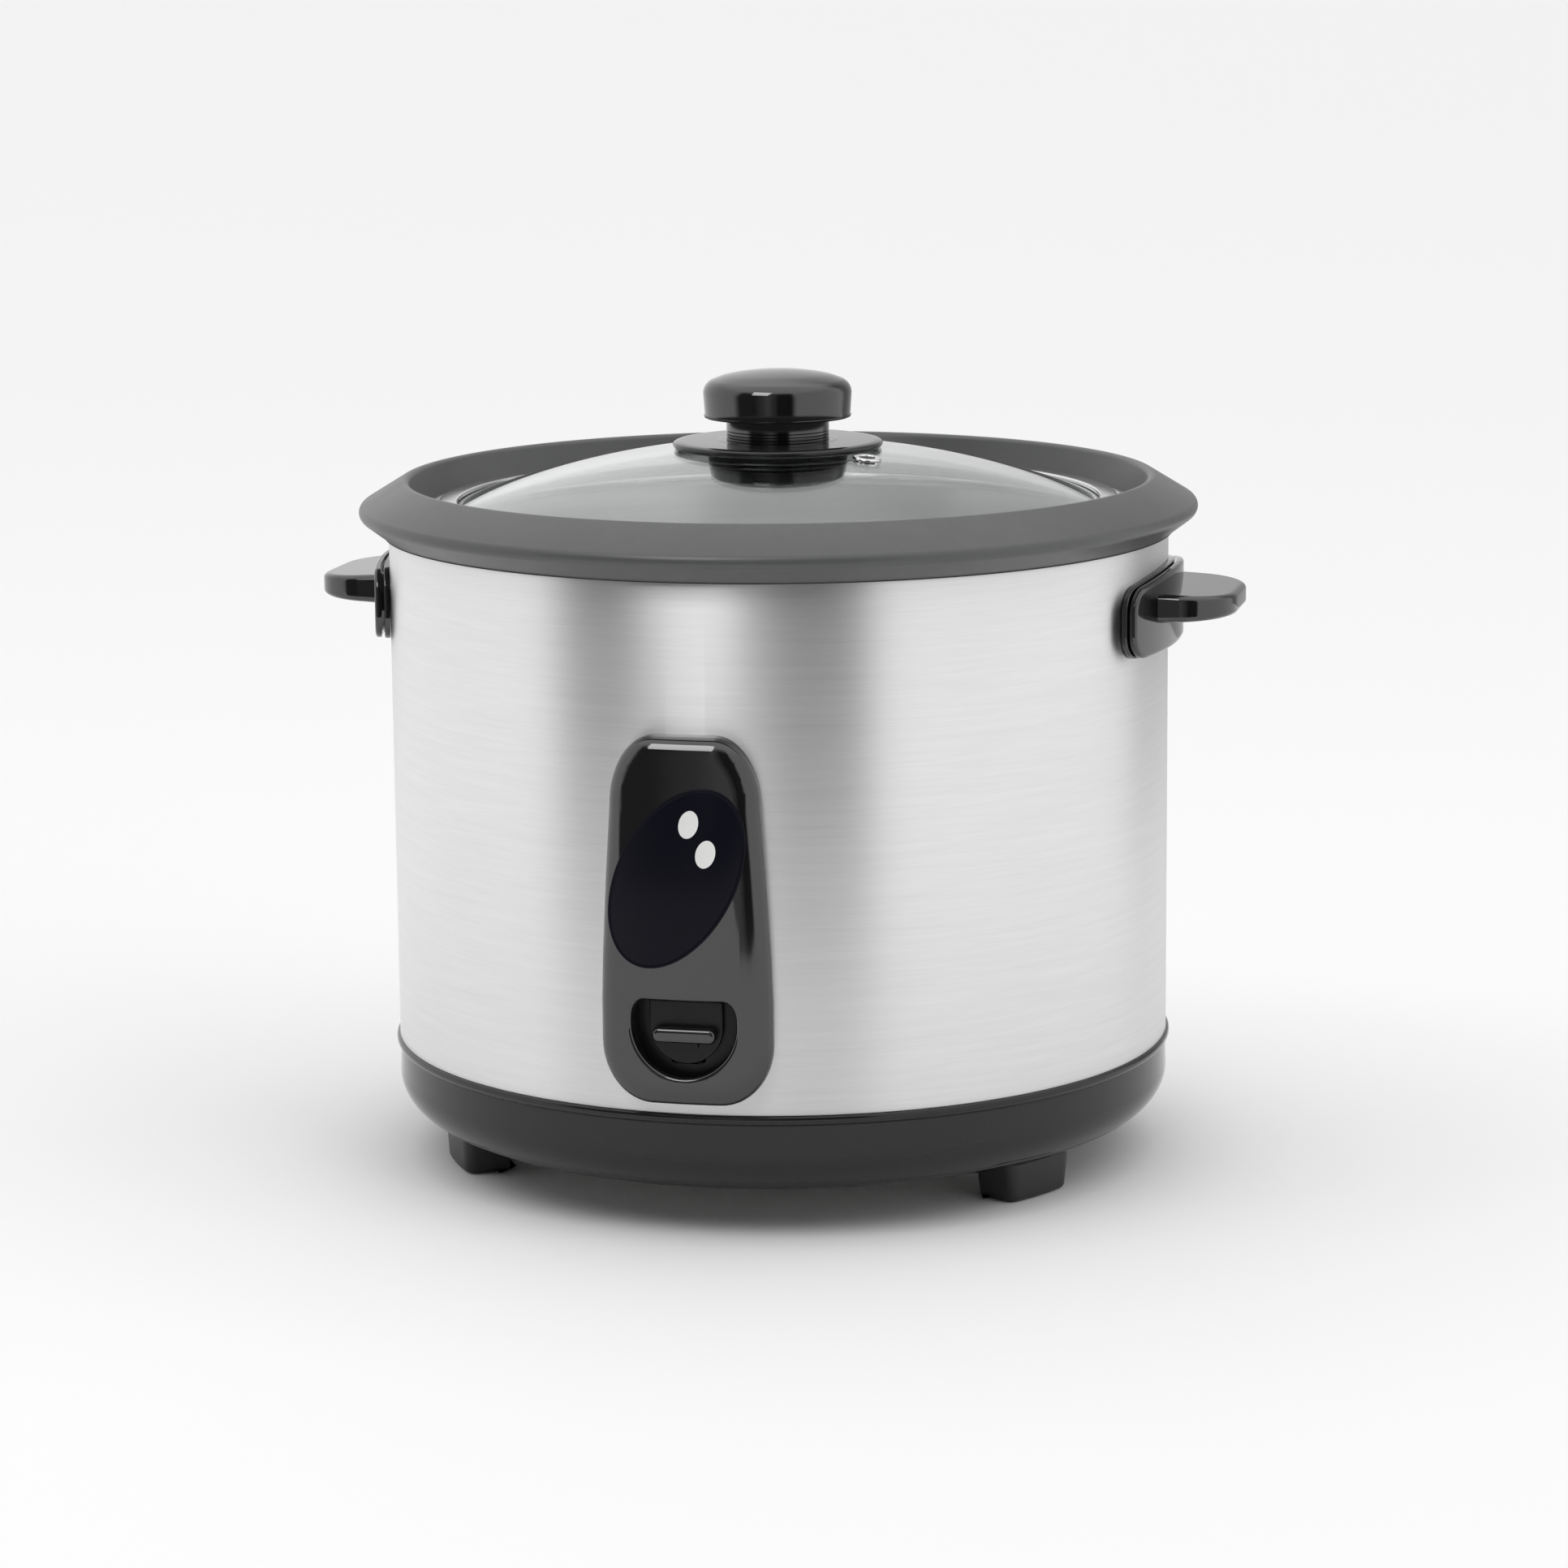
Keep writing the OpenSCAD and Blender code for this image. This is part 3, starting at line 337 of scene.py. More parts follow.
def makeFinish(name, colour, gloss, metal=0.0, grain=900.0, stretch=(1, 1, 1), depth=0.05,
               vary=0.08, smudge=0.05, smudgeScale=30.0, dust=0.03, **fixed):
    material, tree, shader = startMaterial(name)
    link = tree.links.new
    texture = addNode(tree, "ShaderNodeGroup", node_tree=grainGroup)
    texture.inputs["Scale"].default_value = grain
    texture.inputs["Stretch"].default_value = stretch
    hands = addNode(tree, "ShaderNodeGroup", node_tree=handlingGroup)
    hands.inputs["Scale"].default_value = smudgeScale
    hands.inputs["Gloss"].default_value = gloss
    hands.inputs["Change"].default_value = smudge
    mix = addNode(tree, "ShaderNodeMix", data_type="RGBA")
    mix.inputs[6].default_value = tuple(c * (1 - vary) for c in colour) + (1,)
    mix.inputs[7].default_value = tuple(min(c * (1 + vary), 1) for c in colour) + (1,)
    settled = addNode(tree, "ShaderNodeGroup", node_tree=dustGroup)
    settled.inputs["Amount"].default_value = dust
    bump = addNode(tree, "ShaderNodeBump")
    bump.inputs["Strength"].default_value = depth
    bump.inputs["Distance"].default_value = 0.0002
    link(texture.outputs["Uneven"], mix.inputs["Factor"])
    link(mix.outputs[2], settled.inputs["Colour"])
    link(settled.outputs["Colour"], shader.inputs["Base Color"])
    link(hands.outputs["Roughness"], shader.inputs["Roughness"])
    link(texture.outputs["Height"], bump.inputs["Height"])
    link(bump.outputs["Normal"], shader.inputs["Normal"])
    shader.inputs["Metallic"].default_value = metal
    for socket, value in fixed.items():
        shader.inputs[socket].default_value = value
    return material


# The finishes, by the name of their slot in the record
finishes = {
    "satin_grey": dict(colour=(0.082, 0.084, 0.083), gloss=0.36, grain=2600, depth=0.07, smudge=0.04),
    "gloss_grey": dict(colour=(0.012, 0.012, 0.0135), gloss=0.10, grain=1500, depth=0.012, smudge=0.03,
                       dust=0.008, **{"Specular IOR Level": 0.42}),
    "gloss_black": dict(colour=(0.0065, 0.0065, 0.0075), gloss=0.05, grain=700, depth=0.005, smudge=0.02,
                        smudgeScale=18.0, dust=0.006, **{"Specular IOR Level": 1.0}),
    "foot_plastic": dict(colour=(0.018, 0.018, 0.019), gloss=0.42, grain=1800, depth=0.10),
    "badge_navy": dict(colour=(0.0045, 0.0045, 0.0095), gloss=0.30, grain=2400, depth=0.02, smudge=0.03,
                       dust=0.002, **{"Specular IOR Level": 0.10}),
    "lens_white": dict(colour=(0.86, 0.86, 0.84), gloss=0.22, grain=1200, depth=0.01, vary=0.03),
    "lamp_glass": dict(colour=(0.75, 0.34, 0.13), gloss=0.08, grain=1200, depth=0.01),
    "ceramic": dict(colour=(0.78, 0.75, 0.68), gloss=0.38, grain=2200, depth=0.10),
    "sheet_steel": dict(colour=(0.60, 0.60, 0.59), gloss=0.36, metal=1.0, grain=1400, depth=0.08, vary=0.14),
    "fastener_steel": dict(colour=(0.58, 0.57, 0.55), gloss=0.30, metal=1.0, grain=2400, depth=0.06,
                           vary=0.14),
    "spring_steel": dict(colour=(0.46, 0.46, 0.46), gloss=0.26, metal=1.0, grain=3000, depth=0.06),
    "cast_aluminium": dict(colour=(0.60, 0.60, 0.605), gloss=0.44, metal=1.0, grain=1700, depth=0.28,
                           vary=0.12),
    "ferrite": dict(colour=(0.045, 0.045, 0.047), gloss=0.52, grain=2600, depth=0.20),
    "switch_black": dict(colour=(0.0075, 0.0075, 0.008), gloss=0.34, grain=2200, depth=0.06, dust=0.006,
                         **{"Specular IOR Level": 0.30}),
    "plunger_red": dict(colour=(0.42, 0.03, 0.02), gloss=0.34, grain=2200, depth=0.06),
    "fuse_white": dict(colour=(0.74, 0.73, 0.70), gloss=0.30, grain=2200, depth=0.05),
    "pin_brass": dict(colour=(0.72, 0.53, 0.24), gloss=0.22, metal=1.0, grain=2400, depth=0.05, vary=0.10),
    "wire_sleeve": dict(colour=(0.62, 0.24, 0.10), gloss=0.50, grain=1.0, stretch=(1500, 1500, 300),
                        depth=0.25),
    "label_foil": dict(colour=(0.62, 0.62, 0.62), gloss=0.34, metal=1.0, grain=2600, depth=0.05, vary=0.06),
}
materials = {name: makeFinish(name, **values) for name, values in finishes.items()}

brushes = {
    "brushed_steel": dict(colour=(0.82, 0.815, 0.815), gloss=0.38, stretch=0.88, change=0.03, pitch=0.45,
                          length=22, depth=0.03, vary=0.045),
    "bright_steel": dict(colour=(0.76, 0.76, 0.755), gloss=0.12, stretch=0.4, change=0.03, pitch=0.5,
                         length=30, depth=0.02, vary=0.03),
    "pot_aluminium": dict(colour=(0.74, 0.74, 0.745), gloss=0.30, stretch=0.7, change=0.05, pitch=0.5,
                          length=18, depth=0.04, vary=0.05),
}


def makeBrushed(name, colour, gloss, stretch, change, pitch, length, depth, vary):
    material, tree, shader = startMaterial(name)
    link = tree.links.new
    brush = addNode(tree, "ShaderNodeGroup", node_tree=brushGroup)
    brush.inputs["Pitch"].default_value = pitch
    brush.inputs["Length"].default_value = length
    hands = addNode(tree, "ShaderNodeGroup", node_tree=handlingGroup)
    hands.inputs["Scale"].default_value = 14
    hands.inputs["Gloss"].default_value = gloss
    hands.inputs["Change"].default_value = 0.02
    tone = addNode(tree, "ShaderNodeMapRange")
    tone.inputs["From Min"].default_value = 0.3
    tone.inputs["From Max"].default_value = 0.7
    mix = addNode(tree, "ShaderNodeMix", data_type="RGBA")
    mix.inputs[6].default_value = tuple(c * (1 - vary) for c in colour) + (1,)
    mix.inputs[7].default_value = tuple(min(c * (1 + vary), 1) for c in colour) + (1,)
    rough = addNode(tree, "ShaderNodeMath", operation="MULTIPLY_ADD")
    rough.inputs[1].default_value = change
    bump = addNode(tree, "ShaderNodeBump")
    bump.inputs["Strength"].default_value = depth
    bump.inputs["Distance"].default_value = 0.0001
    link(brush.outputs["Tone"], tone.inputs["Value"])
    link(tone.outputs["Result"], mix.inputs["Factor"])
    link(mix.outputs[2], shader.inputs["Base Color"])
    link(tone.outputs["Result"], rough.inputs[0])
    link(hands.outputs["Roughness"], rough.inputs[2])
    link(rough.outputs[0], shader.inputs["Roughness"])
    link(brush.outputs["Height"], bump.inputs["Height"])
    link(bump.outputs["Normal"], shader.inputs["Normal"])
    shader.inputs["Metallic"].default_value = 1
    # Brush lines that run level round the body spread what it mirrors up and down
    around = addNode(tree, "ShaderNodeTangent", direction_type="RADIAL", axis="Z")
    link(around.outputs["Tangent"], shader.inputs["Tangent"])
    shader.inputs["Anisotropic"].default_value = stretch
    shader.inputs["Anisotropic Rotation"].default_value = 0.25
    return material


materials.update({name: makeBrushed(name, **values) for name, values in brushes.items()})
glassLook = {"colour": (0.93, 0.955, 0.95), "gloss": 0.0, "index": 1.48}


def makeGlass():
    material, tree, shader = startMaterial("lid_glass")
    hands = addNode(tree, "ShaderNodeGroup", node_tree=handlingGroup)
    hands.inputs["Scale"].default_value = 16
    hands.inputs["Gloss"].default_value = glassLook["gloss"]
    hands.inputs["Change"].default_value = 0.03
    tree.links.new(hands.outputs["Roughness"], shader.inputs["Roughness"])
    shader.inputs["Base Color"].default_value = glassLook["colour"] + (1,)
    shader.inputs["Transmission Weight"].default_value = 1
    shader.inputs["IOR"].default_value = glassLook["index"]
    return material


materials["lid_glass"] = makeGlass()
print("finishes are made:", len(materials))


# Helpers for the shapes, which are all in millimetres

def arc(x, z, rx, rz, start, stop, count):
    angles = [math.radians(start + (stop - start) * i / count) for i in range(count + 1)]
    return [(x + rx * math.cos(a), z + rz * math.sin(a)) for a in angles]


def softened(corners, count=5):  # a corner is (x, z) or (x, z, how far its rounding reaches)
    points = []
    for i, corner in enumerate(corners):
        x, z = corner[:2]
        reach = corner[2] if len(corner) > 2 else 0
        if not reach:
            points.append((x, z))
            continue
        here = Vector((x, z))
        before = (Vector(corners[i - 1][:2]) - here).normalized() * reach + here
        after = (Vector(corners[(i + 1) % len(corners)][:2]) - here).normalized() * reach + here
        for k in range(count + 1):
            t = k / count
            point = before * (1 - t) ** 2 + here * 2 * t * (1 - t) + after * t * t
            points.append((point.x, point.y))
    return points


def select(piece, kind, test):
    bpy.ops.mesh.select_mode(type=kind)
    bpy.ops.mesh.select_all(action="DESELECT")
    mesh = bmesh.from_edit_mesh(piece.data)
    for item in {"FACE": mesh.faces, "EDGE": mesh.edges, "VERT": mesh.verts}[kind]:
        if test(item):
            item.select_set(True)
    mesh.select_flush_mode()
    bmesh.update_edit_mesh(piece.data)


def startEdit(piece):
    bpy.ops.object.select_all(action="DESELECT")
    bpy.context.view_layer.objects.active = piece
    piece.select_set(True)
    bpy.ops.object.mode_set(mode="EDIT")
    bpy.ops.mesh.select_all(action="SELECT")


def endEdit():
    bpy.ops.mesh.select_all(action="SELECT")
    bpy.ops.mesh.normals_make_consistent(inside=False)
    bpy.ops.object.mode_set(mode="OBJECT")


def startOutline(name, points, place, fill="NGON"):
    bpy.ops.object.select_all(action="DESELECT")
    bpy.ops.mesh.primitive_circle_add(vertices=len(points), radius=mm, fill_type=fill)
    piece = bpy.context.object
    piece.name = piece.data.name = name
    for vertex, point in zip(piece.data.vertices, points):
        vertex.co = Vector(place(*point)) * mm
    startEdit(piece)
    return piece


def turned(name, section, steps=160):  # a closed section of (radius, height) spun about Z
    piece = startOutline(name, section, lambda r, z: (r, 0, z), "NOTHING")
    bpy.ops.mesh.spin(steps=steps, angle=2 * math.pi, center=(0, 0, 0), axis=(0, 0, 1))
    bpy.ops.mesh.select_all(action="SELECT")
    bpy.ops.mesh.remove_doubles(threshold=0.002 * mm)
    bpy.ops.mesh.delete_loose()
    endEdit()
    return piece


# An outline drawn out from near to far; the far side's edge can be rounded
def slab(name, outline, near, far, along="Y", edge=0, rounds=4, deep=None):
    places = {"X": lambda u, v: (near, u, v), "Y": lambda u, v: (u, near, v),
              "Z": lambda u, v: (u, v, near)}
    place = places[along]
    step = Vector(place(0, 0)) * 0
    step["XYZ".index(along)] = (far - near) * mm
    piece = startOutline(name, outline, place)
    bpy.ops.mesh.extrude_region_move(TRANSFORM_OT_translate={"value": step})
    if edge:
        roundFace(edge, deep or edge, rounds)
    endEdit()
    return piece


def roundFace(edge, deep, rounds, support=0.4):  # the selected face rises by deep as it draws in by edge
    at = [(edge * (1 - math.cos(a)), deep * math.sin(a)) for a in
          (math.pi / 2 * i / rounds for i in range(rounds + 1))]
    for (x0, y0), (x1, y1) in zip(at, at[1:]):
        bpy.ops.mesh.inset(thickness=(x1 - x0) * mm, depth=(y1 - y0) * mm, use_even_offset=True)
    bpy.ops.mesh.inset(thickness=support * mm, depth=0)


def modified(piece, kind, **values):
    modifier = piece.modifiers.new(kind.lower(), kind)
    for key, value in values.items():
        setattr(modifier, key, value)
    bpy.ops.object.select_all(action="DESELECT")
    bpy.context.view_layer.objects.active = piece
    piece.select_set(True)
    bpy.ops.object.modifier_apply(modifier=modifier.name)


def cutAway(piece, cutter):
    modified(piece, "BOOLEAN", operation="DIFFERENCE", solver="EXACT", object=cutter)
    bpy.data.objects.remove(cutter)


# Bends a flat piece round the body; what was at Y = 0 lands on the radius
def wrapped(piece, radius, spacing=1.6):
    xs = [v.co.x for v in piece.data.vertices]
    low, high = min(xs), max(xs)
    startEdit(piece)
    count = int((high - low) / (spacing * mm))
    for i in range(1, count):
        bpy.ops.mesh.select_all(action="SELECT")
        bpy.ops.mesh.bisect(plane_co=(low + (high - low) * i / count, 0, 0), plane_no=(1, 0, 0))
    bpy.ops.mesh.select_all(action="SELECT")
    bpy.ops.mesh.remove_doubles(threshold=0.002 * mm)
    bpy.ops.object.mode_set(mode="OBJECT")
    modified(piece, "SIMPLE_DEFORM", deform_method="BEND", deform_axis="Z",
             angle=(high - low) / (radius * mm))
    moved(piece, (0, -radius, 0))


def moved(piece, by=(0, 0, 0), turn=0, axis="Z", about=(0, 0, 0)):
    bpy.ops.object.select_all(action="DESELECT")
    bpy.context.view_layer.objects.active = piece
    piece.select_set(True)
    at = Vector(about) * mm
    piece.matrix_world = (Matrix.Translation(Vector(by) * mm) @ Matrix.Translation(at)
                          @ Matrix.Rotation(math.radians(turn), 4, axis) @ Matrix.Translation(-at))
    bpy.ops.object.transform_apply(location=True, rotation=True, scale=True)


def joined(name, *parts):
    bpy.ops.object.select_all(action="DESELECT")
    for part in parts:
        part.select_set(True)
    bpy.context.view_layer.objects.active = parts[0]
    bpy.ops.object.join()
    parts[0].name = parts[0].data.name = name
    return parts[0]


def copied(piece, name):
    twin = piece.copy()
    twin.data = piece.data.copy()
    twin.name = twin.data.name = name
    bpy.context.scene.collection.objects.link(twin)
    return twin


def finished(piece, body, slot, *nodes, smooth=35):
    bpy.ops.object.select_all(action="DESELECT")
    bpy.context.view_layer.objects.active = piece
    piece.select_set(True)
    bpy.ops.object.shade_smooth_by_angle(angle=math.radians(smooth))
    piece.data.materials.clear()
    piece.data.materials.append(materials[slot])
    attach(piece, body)
    if nodes:
        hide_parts(*nodes)
    return piece


def roundedBox(x0, x1, z0, z1, r, n=6):
    return (arc(x1 - r, z1 - r, r, r, 0, 90, n) + arc(x0 + r, z1 - r, r, r, 90, 180, n)
            + arc(x0 + r, z0 + r, r, r, 180, 270, n) + arc(x1 - r, z0 + r, r, r, 270, 360, n))


def ellipse(x, z, rx, rz, tilt, count=72):
    c, s = math.cos(math.radians(tilt)), math.sin(math.radians(tilt))
    ring = arc(0, 0, rx, rz, 0, 360 - 360 / count, count - 1)
    return [(x + u * c + v * s, z - u * s + v * c) for u, v in ring]


# The body: shell, ring, base and feet
shell = {"r": 126.0, "wall": 0.8, "low": 39.5, "high": 207.0, "slot": (-6, 6, 55.8, 68.7),
         "inlet": (30, 22, 58)}


def makeShell():
    r, low, high = shell["r"], shell["low"], shell["high"]
    inner = r - shell["wall"]
    section = [(r, low, 0.2), (r, high, 0.2), (inner, high, 0.2), (inner, low, 0.2)]
    piece = turned("outerShell", softened(section, 2), 256)
    x0, x1, z0, z1 = shell["slot"]
    cutAway(piece, slab("slotCutter", roundedBox(x0, x1, z0, z1, 2), -140, -110))
    w, h, z = shell["inlet"]
    cutAway(piece, slab("inletCutter", roundedBox(-w / 2, w / 2, z - h / 2, z + h / 2, 1), 110, 140))
    finished(piece, "root", "brushed_steel", "outer_shell", smooth=30)


topRing = {"nose": (132.8, 211.1, 2.6), "crest": (121.0, 219.3, 2.0, 1.7), "skirt": 203.5}


def makeTopRing():
    x, z, r = topRing["nose"]
    cx, cz, cr, ch = topRing["crest"]
    low = topRing["skirt"]
    inside = [(110.4, 206.6, 0.3), (110.4, 209, 0.5), (114.9, 209, 0.5), (115.6, 211.0, 0.6),
              (116.2, 211.2, 0.3)]
    section = softened(inside, 3) + arc(cx, cz, cr, ch, 172, 62, 12) + arc(x, z, r, r, 56, -50, 18)
    section += softened([(127.9, low + 0.1, 0.6), (126.2, low, 0.2), (126.2, 207, 0), (125, 207, 0),
                         (125, low + 1, 0), (123.4, low + 1, 0), (123.4, 209, 0), (129.4, 211.2, 0.5),
                         (121.6, 218.0, 0.6), (118.0, 212, 0), (117.4, 206.6, 0)], 4)
    finished(turned("topRing", section, 240), "root", "satin_grey", "top_ring", smooth=32)


baseRing = {"flat": 106.3, "floor": 12.0, "curve": 15.0, "tuck": 19.7, "bead": 127.2,
            "groove": (16.6, 0.35, 0.55)}


def makeBaseRing():
    flat, low, curve, tuck = (baseRing[k] for k in ("flat", "floor", "curve", "tuck"))
    section = softened([(98, 16, 0), (98, low, 0.4), (flat, low, 0.4)], 3)
    groove, half, deep = baseRing["groove"]
    for r, z in arc(flat, low + curve, tuck, curve, -84, 0, 24):
        section.append((r - (deep if abs(z - groove) < half else 0), z))
    section += softened([(126, 36.4, 0.4), (126.8, 37.2, 0.6), (baseRing["bead"], 38.4, 0.7),
                         (126.6, 39.4, 0.5), (125, 39.5, 0), (125, 45, 0), (123.5, 45, 0), (123.5, 28, 2),
                         (118, 17, 5), (104, 16, 2)], 4)
    piece = turned("baseRing", section, 240)
    finished(piece, "root", "gloss_grey", "base_ring", smooth=38)


foot = {"outer": 112.3, "depth": 15.0, "width": 29.0, "high": 12.3, "roll": (1.5, 1.8), "taper": 0.93,
        "angles": {"foot_front_right": 60, "foot_front_left": -60, "foot_rear": 180}}


def makeFeet():
    outer, wide = foot["outer"], foot["width"] / 2
    inner = -(outer - foot["depth"]) * 0.985
    corner = -math.sqrt(outer ** 2 - wide ** 2)
    half = math.degrees(math.asin((wide - 4) / outer))
    outline = [(wide, inner, 2), (-wide, inner, 2), (-wide, corner, 3.5)]
    outline += arc(0, 0, outer, outer, -90 - half, -90 + half, 10) + [(wide, corner, 3.5)]
    model = startOutline("footModel", softened(outline, 5), lambda x, y: (x, y, foot["high"]))
    middle = (0, -(foot["outer"] - foot["depth"] / 2) * mm, 0)
    edge, deep = foot["roll"]
    bpy.ops.mesh.extrude_region_move(TRANSFORM_OT_translate={"value": (0, 0, (deep - foot["high"]) * mm)})
    bpy.ops.transform.resize(value=(foot["taper"], foot["taper"], 1), center_override=middle)
    bpy.ops.mesh.select_all(action="SELECT")
    bpy.ops.mesh.normals_make_consistent(inside=False)
    select(model, "FACE", lambda f: f.normal.z < -0.9)
    roundFace(edge, deep, 6, 0.6)
    bpy.ops.mesh.inset(thickness=0.4 * mm, depth=-0.4 * mm)
    endEdit()
    for i, (node, angle) in enumerate(foot["angles"].items()):
        piece = copied(model, "foot" + "ABC"[i])
        moved(piece, turn=angle)
        finished(piece, "root", "foot_plastic", node, smooth=40)
    bpy.data.objects.remove(model)


makeShell()
makeTopRing()
makeBaseRing()
makeFeet()
print("the body is made")


# The control panel with its badge, lamps and lever
panel = {"z": 43.5, "high": 114, "half": 28, "front": 134.4, "back": 126.2, "roll": (7.6, 5.0), "edge": 1.1}
pocket = {"z": 52.5, "half": 16.5, "high": 24.2, "wall": 1.4, "drop": 4, "front": 131.7, "back": 126.8}
badge = {"x": -1.7, "z": 114.5, "size": (18.3, 30.3), "tilt": 29, "thick": 0.5, "line": (0.2, 0.3, 0.08)}
lens = {"size": (3.4, 4.8), "tilt": 16, "front": 135.3, "back": 130.6,
        "at": {"warm_lens": (2.7, 131.5), "cook_lens": (7.8, 122.5)}}


def panelOutline():
    z, top, w = panel["z"], panel["z"] + panel["high"], panel["half"]
    points = arc(9.5, top - 22, 15, 22, 0, 90, 16) + arc(-9.5, top - 22, 15, 22, 90, 180, 16)
    points += [(-26.1, z + 70), (-27.5, z + 46), (-w, z + 32)]
    points += arc(17 - w, z + 19, 17, 19, 180, 270, 16) + arc(w - 17, z + 19, 17, 19, 270, 360, 16)
    return points + [(w, z + 32), (27.5, z + 46), (26.1, z + 70)]


def pocketOutline(grow=0, drop=0):
    w, z = pocket["half"] + grow, pocket["z"]
    top = z + pocket["high"] + grow
    return (arc(w - 4, top - 6, 4, 6, 0, 90, 8) + arc(4 - w, top - 6, 4, 6, 90, 180, 8)
            + arc(0, z + pocket["half"], w, w + drop, 180, 360, 36))


def makePanel():
    depth = panel["front"] - panel["back"]
    edge, deep = panel["roll"]
    piece = startOutline("controlPanel", panelOutline(), lambda x, z: (x, depth, z))
    bpy.ops.mesh.extrude_region_move(TRANSFORM_OT_translate={"value": (0, (deep - depth) * mm, 0)})
    roundFace(edge, deep, 9)
    endEdit()
    cutAway(piece, slab("pocketCutter", pocketOutline(), -6, 12))
    rebate = panel["front"] - pocket["front"] - 0.1
    cutAway(piece, slab("rebateCutter", pocketOutline(pocket["wall"] + 0.1, pocket["drop"]), rebate, 12))
    inside = pocket["half"] + 0.3
    low, high = pocket["z"] - 0.3, pocket["z"] + pocket["high"] + 0.3
    startEdit(piece)

    def atMouth(e):  # the sharp edges round the pocket, on the panel's face
        near = all(abs(v.co.y) < 0.01 * mm and abs(v.co.x) < inside * mm
                   and low * mm < v.co.z < high * mm for v in e.verts)
        faces = e.link_faces
        return near and len(faces) == 2 and abs(faces[0].normal.dot(faces[1].normal)) < 0.5

    select(piece, "EDGE", atMouth)
    bpy.ops.mesh.bevel(offset=panel["edge"] * mm, segments=5, affect="EDGES", clamp_overlap=True)
    endEdit()
    wrapped(piece, panel["front"])
    finished(piece, "root", "gloss_black", "control_panel", smooth=40)


def makePocket():
    front, back = panel["front"] - pocket["front"], panel["front"] - pocket["back"]
    wall = pocket["wall"]
    piece = startOutline("leverPocket", pocketOutline(wall, pocket["drop"]), lambda x, z: (x, back, z))
    bpy.ops.mesh.extrude_region_move(TRANSFORM_OT_translate={"value": (0, (front - back) * mm, 0)})
    bpy.ops.mesh.inset(thickness=wall * mm, depth=0)
    bpy.ops.mesh.extrude_region_move(TRANSFORM_OT_translate={"value": (0, (back - front - 0.9) * mm, 0)})
    endEdit()
    x0, x1, z0, z1 = shell["slot"]
    cutAway(piece, slab("slotCutter", roundedBox(x0, x1, z0, z1, 2), -2, 20))
    wrapped(piece, panel["front"])
    finished(piece, "root", "switch_black", "lever_pocket", smooth=40)


def makeBadge():
    at, thick = (badge["x"], badge["z"]), badge["thick"]
    inset, width, proud = badge["line"]
    outline = ellipse(*at, *badge["size"], badge["tilt"], 96)
    piece = startOutline("panelBadge", outline, lambda x, z: (x, 0.75, z))
    bpy.ops.mesh.extrude_region_move(TRANSFORM_OT_translate={"value": (0, -0.9 * mm, 0)})
    roundFace(0.35, thick - 0.15, 4, 0.2)
    bpy.ops.mesh.inset(thickness=inset * mm, depth=0)
    bpy.ops.mesh.inset(thickness=0.15 * mm, depth=-proud * mm)
    bpy.ops.mesh.inset(thickness=width * mm, depth=0)
    bpy.ops.mesh.inset(thickness=0.15 * mm, depth=proud * mm)
    endEdit()
    wrapped(piece, panel["front"], 1.2)
    finished(piece, "root", "badge_navy", "panel_badge", smooth=50)


def makeLenses():
    front, back = panel["front"] - lens["front"], panel["front"] - lens["back"]
    for node, at in lens["at"].items():
        outline = ellipse(*at, *lens["size"], lens["tilt"], 48)
        name = "warmLens" if node == "warm_lens" else "cookLens"
        piece = startOutline(name, outline, lambda x, z: (x, back, z))
        step = (0, (front + 0.9 - back) * mm, 0)
        bpy.ops.mesh.extrude_region_move(TRANSFORM_OT_translate={"value": step})
        roundFace(1.4, 0.7, 6, 0.2)
        bpy.ops.mesh.inset(thickness=0.7 * mm, depth=0.2 * mm)
        endEdit()
        wrapped(piece, panel["front"], 0.8)
        finished(piece, "root", "lens_white", node, smooth=60)


lever = {"tab": (-10, 10, 63.3, 68.1), "tabFront": 133.8, "tabBack": 128.9, "shield": (11.5, 67.8, 76.0),
         "shieldFront": 129.8, "shieldBack": 128.6, "arm": 10, "split": -114.0, "hub": (5, -50, 52, 14)}


def leverShape():  # (y, z) round the arm, from the tab to the inner end that lifts the magnet
    low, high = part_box("lever_arm")
    pin = Vector(lever["hub"][1:3])
    end = low.z / mm
    return softened([(-129.8, 67.1, 0.3), (-112, 65.5, 8), (pin.x - 6, pin.y + 5.5, 3),
                     (pin.x + 3, pin.y + 4, 3), (pin.x + 34, end + 3.5, 3),
                     (high.y / mm, end + 3.5, 0.8), (high.y / mm, end, 0.8), (pin.x + 32, end, 3),
                     (pin.x + 2, pin.y - 5, 3), (pin.x - 4, pin.y - 3, 0),
                     (pin.x - 9, 52.4, 1), (-69, 53.7, 0), (-80, 53.7, 2), (-112, 59.9, 5),
                     (-129.8, 63.9, 0.3)], 3)


def makeArmPart(name, keepFront):
    half = lever["arm"] / 2
    piece = slab(name, leverShape(), -half, half - 0.6, along="X", edge=0.6, rounds=3)
    startEdit(piece)
    bpy.ops.mesh.bisect(plane_co=(0, lever["split"] * mm, 0), plane_no=(0, 1, 0), use_fill=True,
                        clear_outer=keepFront, clear_inner=not keepFront)
    endEdit()
    return piece


